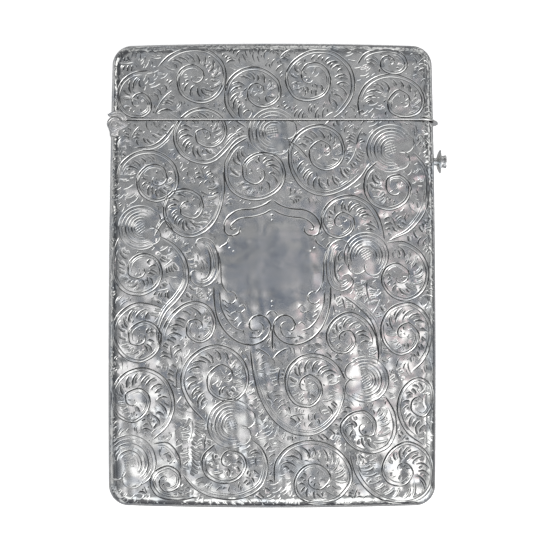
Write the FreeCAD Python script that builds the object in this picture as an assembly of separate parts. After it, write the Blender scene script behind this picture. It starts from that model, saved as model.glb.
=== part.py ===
import FreeCAD
import Part
import math
import os

# A flat silver case for visiting cards. It lies on its back: X is the width, Y runs from the closed foot
# to the lid, Z is the thickness. The origin is the middle of the flat back.
# The lid swings sideways on a knuckle hinge at the left end of the mouth, whose pin runs through the
# thickness. A push button in the right wall bends a leaf spring inwards, which draws a hook off the
# keeper inside the lid, and a second leaf spring by the hinge then pushes the lid's heel and lifts it.
# All sizes are in millimetres.

V = FreeCAD.Vector
X_AXIS = V(1, 0, 0)
Z_AXIS = V(0, 0, 1)
FAR = 200.0  # larger than the case, for cutting

# The case as a whole
CASE_W = 68.0
CASE_H = 97.0
CASE_T = 9.0
WALL = 0.6
CORNER_R = 4.2  # corners of the front outline
EDGE_R = 2.3  # roll of the front and the back into the sides
SIDE_BOW = 0.45  # how far each long side bulges at its middle
END_BOW = 0.6  # how far each short side bulges at its middle
MID_Z = CASE_T / 2

# The mouth, where the lid meets the body
LID_H = 16.8
SEAM_Y = CASE_H / 2 - LID_H
SEAM_GAP = 0.1
RIM_H = 0.5  # the wire round the lid's mouth
RIM_PROUD = 0.1
BEZEL_DEEP = 6.0  # how far the bezel reaches down inside the body
BEZEL_HIGH = 2.2  # how far it stands up into the lid
BEZEL_WALL = 0.4
BEZEL_SLACK = 0.15  # between the bezel and the lid

# The hinge
KNUCKLE_R = 1.55
PIN_R = 0.6
PIN_SLACK = 0.05  # round the pin in the lid's knuckle
PIN_PROUD = 0.05
HINGE_INSIDE = 0.85  # the pin's axis from the side wall's outer face
HINGE_BELOW = 0.6  # the pin's axis under the seam
EAR_T = 0.45
EAR_SINK = 0.15  # the ears lie this far under the case's faces
EAR_DEEP = 1.25  # thickness of the lid's ears where they overhang the rolled edge
EAR_R = 2.4  # the ears' outer radius round the pin
EAR_HIGH = 2.75  # the top of the lid's ears over the pin
EAR_REACH = 2.8  # how far the ears run along the seam
FOOT_DOWN = 2.6  # the foot under the body's knuckles
EAR_SLACK = 0.08  # between the lid's ears and the body's knuckles
MIDDLE_KNUCKLE = 3.6
KNUCKLE_GAP = 0.05
SLOT_SLACK = 0.1  # between the knuckles and the slot in the walls
HEEL_REACH = 2.3
HEEL_LEFT = 0.36
HEEL_RIGHT = 0.95

# The push button
BUTTON_DOWN = 7.95  # its axis under the seam
TRAVEL = 0.6
STEM_R = 0.8
DISH_R = 2.5
DISH_T = 0.35
DISH_RISE = 0.7
KNOB_R = 1.4
KNOB_WAIST = 0.15
KNOB_LENGTH = 1.6
KNOB_DOME = 0.12  # height of its end's dome
BUSH_R = 1.25
BUSH_SLACK = 0.05
BUSH_LIP_R = 1.75
BUSH_LIP_T = 0.12
WASHER_R = 1.35
WASHER_T = 0.2

# The latch: a leaf spring on a block, with a hook at its free end, and the lid's keeper
SPRING_T = 0.35
SPRING_W = 4.0
SPRING_OUT = 1.6  # the spring's outer face from the side wall's outer face
BLOCK_FOOT = 26.5  # the block's lower end under the seam
BLOCK_L = 7.0
SPRING_ABOVE = 1.0  # the spring's free end above the seam
RIVET_R = 0.7
RIVET_HEAD_R = 1.2
RIVET_HEAD_T = 0.25
HOOK_T = 0.43
HOOK_W = 2.2
HOOK_FOOT = 1.2  # the hook's lower end under the seam
HOOK_STEP = 0.22
HOOK_REACH = 0.75
KEEPER_T = 0.8
KEEPER_W = 2.6
KEEPER_ABOVE_BEZEL = 0.25
KEEPER_IN = 0.8
LATCH_GAP = 0.1

# The lifter: a leaf spring that pushes the heel of the lid's knuckle
LIFTER_T = 0.3
LIFTER_W = 3.0
LIFTER_GAP = 0.04
LIFTER_FOOT = 24.5  # its lower end under the seam
LIFTER_SEAT_L = 6.0
LIFTER_TIP = 2.5  # its free end under the seam
LIFTER_RIVET_R = 0.55
LIFTER_HEAD_R = 0.95
LIFTER_HEAD_T = 0.2

# The thumb lip on the lid's rim
LIP_OUT = 1.1
LIP_CHORD = 6.4
LIP_ROOT_T = 0.4
LIP_TIP_T = 0.25
LIP_DROOP = 0.15


def side_x(y):
    """How far the side wall's outer face stands from the middle, at height y."""
    return CASE_W / 2 - SIDE_BOW * (2 * y / CASE_H) ** 2


HINGE_X = -side_x(SEAM_Y) + HINGE_INSIDE
HINGE_Y = SEAM_Y - HINGE_BELOW
BUTTON_Y = SEAM_Y - BUTTON_DOWN
LID_FROM = SEAM_Y + SEAM_GAP / 2
BODY_TO = SEAM_Y - SEAM_GAP / 2
EAR_Z = CASE_T - EAR_SINK - EAR_T  # underside of the front ears
MIDDLE_FROM = MID_Z - MIDDLE_KNUCKLE / 2
MIDDLE_TO = MID_Z + MIDDLE_KNUCKLE / 2
SPRING_X = side_x(SEAM_Y) - SPRING_OUT


def box(x0, x1, y0, y1, z0, z1):
    return Part.makeBox(x1 - x0, y1 - y0, z1 - z0, V(x0, y0, z0))


def slab_y(y0, y1):
    return box(-FAR, FAR, y0, y1, -FAR, FAR)


def slab_z(z0, z1):
    return box(-FAR, FAR, -FAR, FAR, z0, z1)


def upright(radius, z0, z1, x=HINGE_X, y=HINGE_Y):
    """A cylinder along Z, on the hinge pin's axis unless told otherwise."""
    return Part.makeCylinder(radius, z1 - z0, V(x, y, z0), Z_AXIS)


def crosswise(radius, x0, x1, y):
    """A cylinder along X at half thickness."""
    return Part.makeCylinder(radius, x1 - x0, V(x0, y, MID_Z), X_AXIS)


def prism(points, z0, z1):
    """A straight-sided solid over a polygon in X and Y."""
    corners = [V(x, y, z0) for x, y in points]
    wire = Part.makePolygon(corners + corners[:1])
    return Part.Face(wire).extrude(V(0, 0, z1 - z0))


def mirrored(shape):
    """The same shape on the other side of the case's middle plane."""
    return shape.mirror(V(0, 0, MID_Z), Z_AXIS)


def rounded_case(inset):
    """The case's outer form, or the same form drawn in by inset on every side."""
    half_w = CASE_W / 2 - inset
    half_h = CASE_H / 2 - inset
    corner_x = half_w - SIDE_BOW
    corner_y = half_h - END_BOW
    z = inset
    right_foot = V(corner_x, -corner_y, z)
    right_top = V(corner_x, corner_y, z)
    left_top = V(-corner_x, corner_y, z)
    left_foot = V(-corner_x, -corner_y, z)
    sides = [
        Part.Arc(right_foot, V(half_w, 0, z), right_top),
        Part.Arc(right_top, V(0, half_h, z), left_top),
        Part.Arc(left_top, V(-half_w, 0, z), left_foot),
        Part.Arc(left_foot, V(0, -half_h, z), right_foot),
    ]
    wire = Part.Wire([side.toShape() for side in sides])
    height = CASE_T - 2 * inset
    form = Part.Face(wire).extrude(V(0, 0, height))
    posts = [edge for edge in form.Edges if edge.BoundBox.ZLength > height / 2]
    form = form.makeFillet(CORNER_R - inset, posts)
    rims = [edge for edge in form.Edges if edge.BoundBox.ZLength < height / 2]
    return form.makeFillet(EDGE_R - inset, rims)


OUTER = rounded_case(0.0)
INNER = rounded_case(WALL)


def about_pin(points):
    """Points given from the pin's axis, in the frame of the case."""
    return [(HINGE_X + x, HINGE_Y + y) for x, y in points]


def body_ear(z0, z1):
    """The body's ear in plan: a tongue along the seam, under it."""
    top = BODY_TO - HINGE_Y
    outline = [(0, -1.5), (1.0, -1.5), (EAR_REACH, -0.5), (EAR_REACH, top), (0, top)]
    return prism(about_pin(outline), z0, z1)


def body_foot(z0, z1):
    """The lug under the body's knuckle: it spreads from the knuckle down to the side wall."""
    outline = [
        (0, 0),
        (0.9, -0.3),
        (0.9, -FOOT_DOWN),
        (-HINGE_INSIDE - 0.06, -FOOT_DOWN),
        (-0.98, -1.7),
        (-1.42, -0.45),
    ]
    return prism(about_pin(outline), z0, z1)


def foot_room():
    """The space that the front foot takes out of the body's walls."""
    z0 = MIDDLE_TO + KNUCKLE_GAP
    return box(-FAR, HINGE_X + 0.9, HINGE_Y - FOOT_DOWN, HINGE_Y, z0, FAR)


def lid_ear(z0, z1):
    """The lid's ear in plan: a leaf that wraps the top of the body's knuckle."""
    low = LID_FROM - HINGE_Y
    corners = about_pin(
        [
            (-0.6 * EAR_R, 0.8 * EAR_R),
            (0.1, 0.97 * EAR_HIGH),
            (0.42 * EAR_REACH, EAR_HIGH),
            (0.8 * EAR_REACH, 0.72 * EAR_HIGH),
            (EAR_REACH, 0.38 * EAR_HIGH),
            (0.92 * EAR_REACH, low),
            (0.2, low),
        ]
    )
    p = [V(x, y, z0) for x, y in corners]
    edges = [
        Part.Arc(p[0], p[1], p[2]).toShape(),
        Part.Arc(p[2], p[3], p[4]).toShape(),
        Part.LineSegment(p[4], p[5]).toShape(),
        Part.LineSegment(p[5], p[6]).toShape(),
        Part.LineSegment(p[6], p[0]).toShape(),
    ]
    leaf = Part.Face(Part.Wire(edges)).extrude(V(0, 0, z1 - z0))
    return leaf.cut(upright(KNUCKLE_R + EAR_SLACK, z0, z1))


def hinge_slot():
    """The space that the knuckles take out of the walls."""
    reach = KNUCKLE_R + SLOT_SLACK
    return box(-FAR, HINGE_X + reach, HINGE_Y - reach, HINGE_Y + reach, -FAR, FAR)


def body_knuckle():
    """The front knuckle of the body, with its foot on the side wall and its ear."""
    top = EAR_Z + EAR_T
    z0 = MIDDLE_TO + KNUCKLE_GAP
    tube = upright(KNUCKLE_R, z0, top)
    whole = tube.fuse([body_foot(z0, top), body_ear(EAR_Z, top)]).removeSplitter()
    return whole.cut(upright(PIN_R, -FAR, FAR))


def lid_hinge_ear():
    """The lid's front ear. Left of the flat front it is thicker and follows the rolled edge."""
    lug = lid_ear(EAR_Z + EAR_T - EAR_DEEP, EAR_Z + EAR_T)
    return lug.cut(OUTER.common(slab_z(-FAR, EAR_Z)))


def lid_knuckle():
    """The middle knuckle, with its web up the lid's side wall and the heel that the lifter pushes."""
    reach = KNUCKLE_R + SLOT_SLACK
    z0 = MIDDLE_FROM
    z1 = MIDDLE_TO
    tube = upright(KNUCKLE_R, z0, z1)
    web_outline = [
        (0, 0),
        (0, reach),
        (-HINGE_INSIDE, reach),
        (-HINGE_INSIDE - 0.1, 1.3),
        (-1.42, 0.45),
    ]
    web = prism(about_pin(web_outline), z0, z1)
    heel_outline = [
        (HEEL_LEFT, -1.0),
        (HEEL_LEFT, -HEEL_REACH),
        (HEEL_RIGHT, -HEEL_REACH),
        (HEEL_RIGHT, -1.0),
    ]
    heel = prism(about_pin(heel_outline), z0 + 0.3, z1 - 0.3)
    whole = tube.fuse([web, heel]).removeSplitter()
    return whole.cut(upright(PIN_R + PIN_SLACK, -FAR, FAR))


def hinge_pin():
    low = EAR_SINK - PIN_PROUD
    high = CASE_T - low
    pin = upright(PIN_R, low, high)
    return pin.makeFillet(0.12, [e for e in pin.Edges if e.BoundBox.ZLength < 0.01])


def body_shells():
    """The front and the back half of the body, soldered together at half thickness."""
    shell = OUTER.cut(INNER).common(slab_y(-FAR, BODY_TO))
    ear = body_ear(EAR_Z, FAR)
    bush_hole = crosswise(BUSH_R, 0, FAR, BUTTON_Y)
    front = shell.common(slab_z(MID_Z, FAR))
    front = front.cut(hinge_slot()).cut(foot_room()).cut(ear).cut(bush_hole)
    return front, mirrored(front)


def lid_shells():
    """The front and the back half of the lid, above the rim wire."""
    shell = OUTER.cut(INNER).common(slab_y(LID_FROM + RIM_H, FAR))
    ear = lid_ear(EAR_Z, FAR)
    front = shell.common(slab_z(MID_Z, FAR)).cut(hinge_slot()).cut(ear)
    return front, mirrored(front)


def lid_rim():
    """The wire round the lid's mouth. It stands proud of the front and sides and is filed flush behind."""
    band = rounded_case(-RIM_PROUD).cut(INNER).common(slab_y(LID_FROM, LID_FROM + RIM_H))
    ear = lid_ear(EAR_Z + EAR_T - EAR_DEEP, FAR)
    ring = band.common(slab_z(0, FAR))
    return ring.cut([hinge_slot(), ear, mirrored(ear)])


def mouth_bezel():
    """The collar soldered inside the mouth, which the lid closes over. It is open beside the hinge."""
    fitted = INNER.common(slab_y(SEAM_Y - BEZEL_DEEP, BODY_TO))
    free = rounded_case(WALL + BEZEL_SLACK).common(slab_y(BODY_TO, SEAM_Y + BEZEL_HIGH))
    hollow = rounded_case(WALL + BEZEL_SLACK + BEZEL_WALL)
    hinge_room = box(-FAR, HINGE_X + KNUCKLE_R + 0.35, -FAR, FAR, -FAR, FAR)
    ring = fitted.fuse(free).cut(hollow).removeSplitter()
    ear = body_ear(EAR_Z, FAR)
    return ring.cut([hinge_room, ear, mirrored(ear)])


def push_button():
    """Stem, dished flange and waisted knob, turned in one piece. Its axis is X."""
    stem_end = SPRING_X + 0.05
    dish_x = side_x(BUTTON_Y) + BUSH_LIP_T + TRAVEL + 0.05
    knob_x = dish_x + DISH_T + 0.1
    end_x = knob_x + KNOB_LENGTH
    waist = KNOB_R - KNOB_WAIST
    dome_r = KNOB_R - 0.25
    dome_x = end_x + KNOB_DOME
    sphere_r = (dome_r**2 + KNOB_DOME**2) / (2 * KNOB_DOME)
    dome_mid_x = dome_x - sphere_r + math.sqrt(sphere_r**2 - dome_r**2 / 4)

    def point(x, r):
        return V(x, BUTTON_Y + r, MID_Z)

    def line(a, b):
        return Part.LineSegment(a, b).toShape()

    def arc(a, b, c):
        return Part.Arc(a, b, c).toShape()

    profile = [
        line(point(stem_end, 0), point(stem_end, STEM_R)),
        line(point(stem_end, STEM_R), point(dish_x, STEM_R)),
        arc(
            point(dish_x, STEM_R),
            point(dish_x + 0.3 * DISH_RISE, (STEM_R + DISH_R) / 2),
            point(dish_x + DISH_RISE, DISH_R),
        ),
        line(
            point(dish_x + DISH_RISE, DISH_R), point(dish_x + DISH_RISE + 0.2, DISH_R)
        ),
        arc(
            point(dish_x + DISH_RISE + 0.2, DISH_R),
            point(dish_x + DISH_T + 0.3 * DISH_RISE, (KNOB_R + DISH_R) / 2),
            point(knob_x, KNOB_R),
        ),
        arc(
            point(knob_x, KNOB_R),
            point(knob_x + KNOB_LENGTH / 2, waist),
            point(end_x - 0.2, KNOB_R),
        ),
        arc(
            point(end_x - 0.2, KNOB_R),
            point(end_x - 0.05, KNOB_R - 0.05),
            point(end_x, dome_r),
        ),
        arc(point(end_x, dome_r), point(dome_mid_x, dome_r / 2), point(dome_x, 0)),
        line(point(dome_x, 0), point(stem_end, 0)),
    ]
    face = Part.Face(Part.Wire(profile))
    return face.revolve(V(0, BUTTON_Y, MID_Z), X_AXIS, 360)


def button_bush():
    """The eyelet that lines the button's hole, with a thin lip outside."""
    wall_x = side_x(BUTTON_Y)
    tube = crosswise(BUSH_R, wall_x - WALL - 0.3, wall_x + BUSH_LIP_T, BUTTON_Y)
    lip = crosswise(BUSH_LIP_R, wall_x - 0.3, wall_x + BUSH_LIP_T, BUTTON_Y).cut(OUTER)
    bore = crosswise(STEM_R + BUSH_SLACK, 0, FAR, BUTTON_Y)
    return tube.fuse(lip).removeSplitter().cut(bore)


def button_washer():
    """The ring pressed on the stem inside the wall, which keeps the button in."""
    x1 = side_x(BUTTON_Y) - WALL - 0.3 - 0.05
    ring = crosswise(WASHER_R, x1 - WASHER_T, x1, BUTTON_Y)
    return ring.cut(crosswise(STEM_R, 0, FAR, BUTTON_Y))


def rivet(face_x, depth, side, y, shank_r, head_r, head_t):
    """A rivet along X, its head on the face at face_x. side is 1 where the shank points to +X."""
    head_x = face_x - side * head_t
    head = crosswise(head_r, min(face_x, head_x), max(face_x, head_x), y)
    rim = [e for e in head.Edges if abs(e.BoundBox.Center.x - head_x) < 0.01]
    head = head.makeFillet(0.7 * head_t, [e for e in rim if e.BoundBox.XLength < 0.01])
    tip = face_x + side * depth
    return head.fuse(
        crosswise(shank_r, min(face_x, tip), max(face_x, tip), y)
    ).removeSplitter()


def latch_parts():
    """The block on the right wall, the leaf spring on it, its two rivets and the hook at its tip."""
    z0 = MID_Z - SPRING_W / 2
    z1 = MID_Z + SPRING_W / 2
    y0 = SEAM_Y - BLOCK_FOOT
    y1 = y0 + BLOCK_L
    inner_x = SPRING_X - SPRING_T
    block = box(SPRING_X, FAR, y0, y1, z0 + 0.1, z1 - 0.1).common(INNER)
    spring = box(inner_x, SPRING_X, y0, SEAM_Y + SPRING_ABOVE, z0, z1)
    rivets = [
        rivet(inner_x, SPRING_T + 0.7, 1, y, RIVET_R, RIVET_HEAD_R, RIVET_HEAD_T)
        for y in (y0 + 0.25 * BLOCK_L, y0 + 0.75 * BLOCK_L)
    ]
    bezel_top = SEAM_Y + BEZEL_HIGH
    keeper_top = bezel_top + KEEPER_ABOVE_BEZEL + KEEPER_T
    catch_y = keeper_top + LATCH_GAP
    back_x = inner_x - HOOK_T
    front_x = inner_x + HOOK_STEP
    hook = prism(
        [
            (back_x, SEAM_Y - HOOK_FOOT),
            (inner_x, SEAM_Y - HOOK_FOOT),
            (inner_x, SEAM_Y + SPRING_ABOVE + 0.1),
            (front_x, SEAM_Y + SPRING_ABOVE + 0.1),
            (front_x, catch_y),
            (front_x + HOOK_REACH, catch_y),
            (front_x + HOOK_REACH, catch_y + 0.3),
            (front_x - 0.2, catch_y + 1.4),
            (back_x, catch_y + 1.4),
        ],
        MID_Z - HOOK_W / 2,
        MID_Z + HOOK_W / 2,
    )
    return block.cut(rivets), spring.cut(rivets), Part.makeCompound(rivets), hook


def lid_keeper():
    """The ledge soldered inside the lid's right wall, which the hook holds down."""
    y0 = SEAM_Y + BEZEL_HIGH + KEEPER_ABOVE_BEZEL
    x0 = side_x(y0) - WALL - KEEPER_IN
    z0 = MID_Z - KEEPER_W / 2
    ledge = box(x0, FAR, y0, y0 + KEEPER_T, z0, z0 + KEEPER_W)
    return ledge.common(INNER)


def lifter_parts():
    """The seat on the left wall, the lifter's leaf on it and its two rivets."""
    z0 = MID_Z - LIFTER_W / 2
    z1 = MID_Z + LIFTER_W / 2
    y0 = SEAM_Y - LIFTER_FOOT
    x1 = HINGE_X + HEEL_LEFT - LIFTER_GAP
    x0 = x1 - LIFTER_T
    seat = box(-FAR, x0, y0, y0 + LIFTER_SEAT_L, z0, z1).common(INNER)
    leaf = box(x0, x1, y0, SEAM_Y - LIFTER_TIP, z0, z1)
    rivets = [
        rivet(x1, LIFTER_T + 0.2, -1, y, LIFTER_RIVET_R, LIFTER_HEAD_R, LIFTER_HEAD_T)
        for y in (y0 + 0.25 * LIFTER_SEAT_L, y0 + 0.75 * LIFTER_SEAT_L)
    ]
    return seat.cut(rivets), leaf.cut(rivets), Part.makeCompound(rivets)


def thumb_lip():
    """A crescent lip on the right end of the rim."""
    root = side_x(SEAM_Y) - 0.3
    tip = side_x(SEAM_Y) + RIM_PROUD + LIP_OUT
    top = LID_FROM + RIM_H - 0.02
    section = prism(
        [
            (root, top),
            (root, top - LIP_ROOT_T),
            (tip, top - LIP_ROOT_T - LIP_DROOP),
            (tip, top - LIP_ROOT_T - LIP_DROOP + LIP_TIP_T),
        ],
        0,
        CASE_T,
    )
    # The crescent's arc has its chord on the rim and its top at the tip.
    radius = (LIP_CHORD**2 / 4 + LIP_OUT**2) / (2 * LIP_OUT)
    disc = Part.makeCylinder(radius, FAR, V(tip - radius, 0, MID_Z), V(0, 1, 0))
    return section.common(disc).cut(rounded_case(-RIM_PROUD))


def export(name, shape):
    if not shape.isValid() or shape.Volume <= 0:
        raise ValueError(name + " is a bad shape")
    shape.exportStep("parts/" + name + ".step")
    print(name, len(shape.Solids), "solid", round(shape.Volume, 2), "mm3")


def main():
    os.makedirs("parts", exist_ok=True)
    parts = {}
    parts["body_front_shell"], parts["body_back_shell"] = body_shells()
    parts["lid_front_shell"], parts["lid_back_shell"] = lid_shells()
    parts["lid_rim"] = lid_rim()
    parts["mouth_bezel"] = mouth_bezel()
    parts["hinge_knuckle_front"] = body_knuckle()
    parts["hinge_knuckle_back"] = mirrored(body_knuckle())
    parts["hinge_pin"] = hinge_pin()
    parts["lid_hinge_knuckle"] = lid_knuckle()
    parts["lid_hinge_ear_front"] = lid_hinge_ear()
    parts["lid_hinge_ear_back"] = mirrored(lid_hinge_ear())
    parts["lid_thumb_lip"] = thumb_lip()
    parts["lid_keeper"] = lid_keeper()
    parts["push_button"] = push_button()
    parts["button_bush"] = button_bush()
    parts["button_washer"] = button_washer()
    block, spring, rivets, hook = latch_parts()
    parts["latch_spring_block"] = block
    parts["latch_spring"] = spring
    parts["latch_spring_rivets"] = rivets
    parts["latch_hook"] = hook
    seat, leaf, pins = lifter_parts()
    parts["lifter_spring_seat"] = seat
    parts["lifter_spring"] = leaf
    parts["lifter_spring_rivets"] = pins
    for name, shape in parts.items():
        export(name, shape)
    volume = sum(shape.Volume for shape in parts.values())
    print("hinge axis", round(HINGE_X, 3), round(HINGE_Y, 3))
    print("button axis", round(BUTTON_Y, 3), "spring clamp", SEAM_Y - BLOCK_FOOT + BLOCK_L)
    lever = BUTTON_Y - (SEAM_Y - BLOCK_FOOT + BLOCK_L)
    print("hook swing", round(math.degrees(TRAVEL / lever), 3), "deg")
    print("metal", round(volume, 1), "mm3")


main()
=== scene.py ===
import math
import random

import bpy
import numpy as np
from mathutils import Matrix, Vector
from mathutils.geometry import delaunay_2d_cdt


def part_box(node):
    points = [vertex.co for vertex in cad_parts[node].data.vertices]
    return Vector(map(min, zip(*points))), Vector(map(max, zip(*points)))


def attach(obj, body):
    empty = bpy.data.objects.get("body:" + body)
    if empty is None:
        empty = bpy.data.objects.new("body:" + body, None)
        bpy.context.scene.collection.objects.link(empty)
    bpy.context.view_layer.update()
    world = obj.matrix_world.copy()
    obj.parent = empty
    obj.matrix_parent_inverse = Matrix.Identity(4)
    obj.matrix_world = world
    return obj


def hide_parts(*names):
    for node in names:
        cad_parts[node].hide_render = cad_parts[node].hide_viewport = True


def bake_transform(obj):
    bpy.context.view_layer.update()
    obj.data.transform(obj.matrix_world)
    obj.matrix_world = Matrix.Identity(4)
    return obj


# An engraved silver card case. The CAD model gives the plain parts; here the four wall plates get their
# engraving as real cuts. The pattern is drawn in millimetres on the flattened plate (X width, Y height),
# triangulated with every cut's edges and floor as constraints, and then wrapped over the rolled edges.

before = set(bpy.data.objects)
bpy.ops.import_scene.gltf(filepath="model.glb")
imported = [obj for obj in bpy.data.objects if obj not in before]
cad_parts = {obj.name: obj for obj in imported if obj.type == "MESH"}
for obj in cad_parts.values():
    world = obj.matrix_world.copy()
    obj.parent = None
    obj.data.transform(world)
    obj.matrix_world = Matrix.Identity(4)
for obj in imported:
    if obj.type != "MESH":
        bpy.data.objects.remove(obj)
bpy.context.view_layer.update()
rng = random.Random(7)

# Sizes of the case, in millimetres, as in the CAD model
MM = 0.001
HALF_W = 34.0
HALF_H = 48.5
THICK = 9.0
WALL = 0.6
CORNER_R = 4.2
EDGE_R = 2.3
SIDE_BOW = 0.45
END_BOW = 0.6
SEAM_Y = 31.7
BODY_TOP = SEAM_Y - 0.05
LID_FOOT = SEAM_Y + 0.05 + 0.5
HINGE_X = -32.958
HINGE_Y = 31.1
BUTTON_Y = 23.75
BUTTON_HOLE_R = 1.25
RIM_PROUD = 0.1
RIM_Y = 32.0
WIRE_LEFT = -30.1  # where the rim's wire starts, beside the hinge ear
WIRE_DOWN = 1.15  # how far it turns down the right roll, in radians
EAR_FACE = 8.83  # height of the beading on the hinge ears, knuckles and feet
EVEN_STEP = 0.08  # spacing of a cut's points while it is smoothed
TURN_STEP = 0.17  # turn in radians between a cut's final points
CUT_STEPS = (0.16, 0.75)  # their shortest and longest spacing
FADE_END = 2.9  # reach down the rolled edge where the cuts have faded out
FADE_SPAN = 2.5  # the length over which they fade
MESH_STEP = 0.85  # spacing of the plates' points between the cuts
INSIDE_STEP = 2.4  # the same on their plain insides

ROLL = EDGE_R * math.pi / 2  # developed length of the rolled edge
SKIRT = ROLL + THICK / 2 - EDGE_R  # developed reach from the flat front to half thickness


# ---------------------------------------------------------------- outline of the case


def bow_circle(half, bow, span):
    """Centre distance and radius of the arc that bulges by bow over a half chord span."""
    radius = (span**2 + bow**2) / (2 * bow)
    return half - radius, radius


def outline(offset):
    """The case's outline moved by offset, as points counted anticlockwise from the lower right."""
    side_c, side_r = bow_circle(HALF_W, SIDE_BOW, HALF_H - END_BOW)
    end_c, end_r = bow_circle(HALF_H, END_BOW, HALF_W - SIDE_BOW)
    # Centre of the corner circle: inside both big circles by the corner radius.
    a = side_r - CORNER_R
    b = end_r - CORNER_R
    base = math.hypot(side_c, end_c)
    along = (a * a - b * b + base * base) / (2 * base)
    rise = math.sqrt(a * a - along * along)
    ux, uy = -side_c / base, end_c / base
    cx = side_c + along * ux + rise * (-uy)
    cy = along * uy + rise * ux
    if cx < 0 or cy < 0:
        cx = side_c + along * ux + rise * uy
        cy = along * uy - rise * ux
    a0 = math.atan2(cy, cx - side_c)
    a1 = math.atan2(cy - end_c, cx)
    quarter = []
    for t in np.linspace(0, a0, 40, endpoint=False):
        r = side_r + offset
        quarter.append((side_c + r * math.cos(t), r * math.sin(t)))
    for t in np.linspace(a0, a1, 14, endpoint=False):
        r = CORNER_R + offset
        quarter.append((cx + r * math.cos(t), cy + r * math.sin(t)))
    for t in np.linspace(a1, math.pi / 2, 30, endpoint=False):
        r = end_r + offset
        quarter.append((r * math.cos(t), end_c + r * math.sin(t)))
    q = np.array(quarter)
    top = np.array([[0.0, HALF_H + offset]])
    left = np.column_stack([-q[:, 0], q[:, 1]])[::-1]
    ring = np.vstack([q, top, left[:-1]])
    lower = np.column_stack([-ring[:, 0], -ring[:, 1]])
    return np.vstack([ring, lower])


FLAT_EDGE = outline(-EDGE_R)


def inside(poly, p):
    """Which points p lie inside the polygon."""
    x, y = p[:, 0], p[:, 1]
    hit = np.zeros(len(p), bool)
    a = poly
    b = np.roll(poly, -1, axis=0)
    for (ax, ay), (bx, by) in zip(a, b):
        cross = (ay > y) != (by > y)
        if abs(by - ay) > 1e-12:
            hit ^= cross & (x < (bx - ax) * (y - ay) / (by - ay) + ax)
    return hit


def nearest_on(poly, p):
    """The nearest point of a closed polygon to each point p."""
    a = poly
    d = np.roll(poly, -1, axis=0) - a
    best = np.full(len(p), 1e18)
    out = np.zeros_like(p)
    for (ax, ay), (dx, dy) in zip(a, d):
        t = ((p[:, 0] - ax) * dx + (p[:, 1] - ay) * dy) / (dx * dx + dy * dy)
        t = np.clip(t, 0, 1)
        qx = ax + t * dx
        qy = ay + t * dy
        s = (p[:, 0] - qx) ** 2 + (p[:, 1] - qy) ** 2
        m = s < best
        best[m] = s[m]
        out[m, 0] = qx[m]
        out[m, 1] = qy[m]
    return out


def wrap(p, depth):
    """Developed points p, sunk by depth into the plate, as places on the case's front half."""
    q = nearest_on(FLAT_EDGE, p)
    d = np.hypot(*(p - q).T)
    d[inside(FLAT_EDGE, p)] = 0
    n = (p - q) / np.maximum(np.hypot(*(p - q).T), 1e-9)[:, None]
    theta = np.minimum(d / EDGE_R, math.pi / 2)
    r = EDGE_R - depth
    xy = np.where((d > 0)[:, None], q + n * (r * np.sin(theta))[:, None], p)
    z = THICK - EDGE_R + r * np.cos(theta) - np.maximum(d - ROLL, 0)
    return np.column_stack([xy, z])


# ---------------------------------------------------------------- engraver's strokes


def running(p):
    """The length of the line up to each of its points."""
    return np.concatenate([[0], np.cumsum(np.hypot(*np.diff(p, axis=0).T))])


def polar(x, y, r, angle):
    """The place at distance r from a point, along angle."""
    return x + r * math.cos(angle), y + r * math.sin(angle)


def curve(points, step=None):
    """A smooth line through the points, resampled finely where it turns sharply."""
    p = np.array(points, float)
    if len(p) > 2:
        ext = np.vstack([2 * p[0] - p[1], p, 2 * p[-1] - p[-2]])
        fine = []
        for i in range(1, len(ext) - 2):
            p0, p1, p2, p3 = ext[i - 1 : i + 3]
            for t in np.linspace(0, 1, 14, endpoint=False):
                square = (2 * p0 - 5 * p1 + 4 * p2 - p3) * t * t
                cube = (3 * p1 - p0 - 3 * p2 + p3) * t**3
                fine.append(0.5 * (2 * p1 + (p2 - p0) * t + square + cube))
        fine.append(ext[-2])
        fine = np.array(fine)
    else:
        fine = np.linspace(p[0], p[1], 12)
    run = running(fine)
    if len(p) > 3 and run[-1] > 3:
        # Even out the turning, so no corner shows at a drawn point.
        even = np.linspace(0, run[-1], int(run[-1] / EVEN_STEP))
        fine = np.column_stack([np.interp(even, run, fine[:, 0]), np.interp(even, run, fine[:, 1])])
        kernel = np.exp(-0.5 * (np.arange(-12, 13) / 5.0) ** 2)
        kernel /= kernel.sum()
        head = 2 * fine[0] - fine[12:0:-1]
        foot = 2 * fine[-1] - fine[-2:-14:-1]
        padded = np.vstack([head, fine, foot])
        fine = np.column_stack([np.convolve(padded[:, k], kernel, "valid") for k in (0, 1)])
    seg = np.diff(fine, axis=0)
    length = np.hypot(*seg.T)
    heading = np.unwrap(np.arctan2(seg[:, 1], seg[:, 0]))
    bend = np.abs(np.gradient(heading)) / np.maximum(length, 1e-6)
    want = np.clip(TURN_STEP / np.maximum(bend, 1e-3), *CUT_STEPS) if step is None else step
    density = length / want
    run = np.concatenate([[0], np.cumsum(density)])
    n = max(3, int(round(run[-1])) + 1)
    s = np.linspace(0, run[-1], n)
    return np.column_stack([np.interp(s, run, fine[:, 0]), np.interp(s, run, fine[:, 1])])


def normals(p):
    """Unit vectors to the left of the line at each of its points."""
    t = np.gradient(p, axis=0)
    t /= np.maximum(np.hypot(*t.T), 1e-9)[:, None]
    return np.column_stack([-t[:, 1], t[:, 0]])


def shifted(p, distance):
    """The line moved to its left by distance, which may vary along it."""
    return p + normals(p) * np.broadcast_to(distance, len(p))[:, None]


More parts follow.
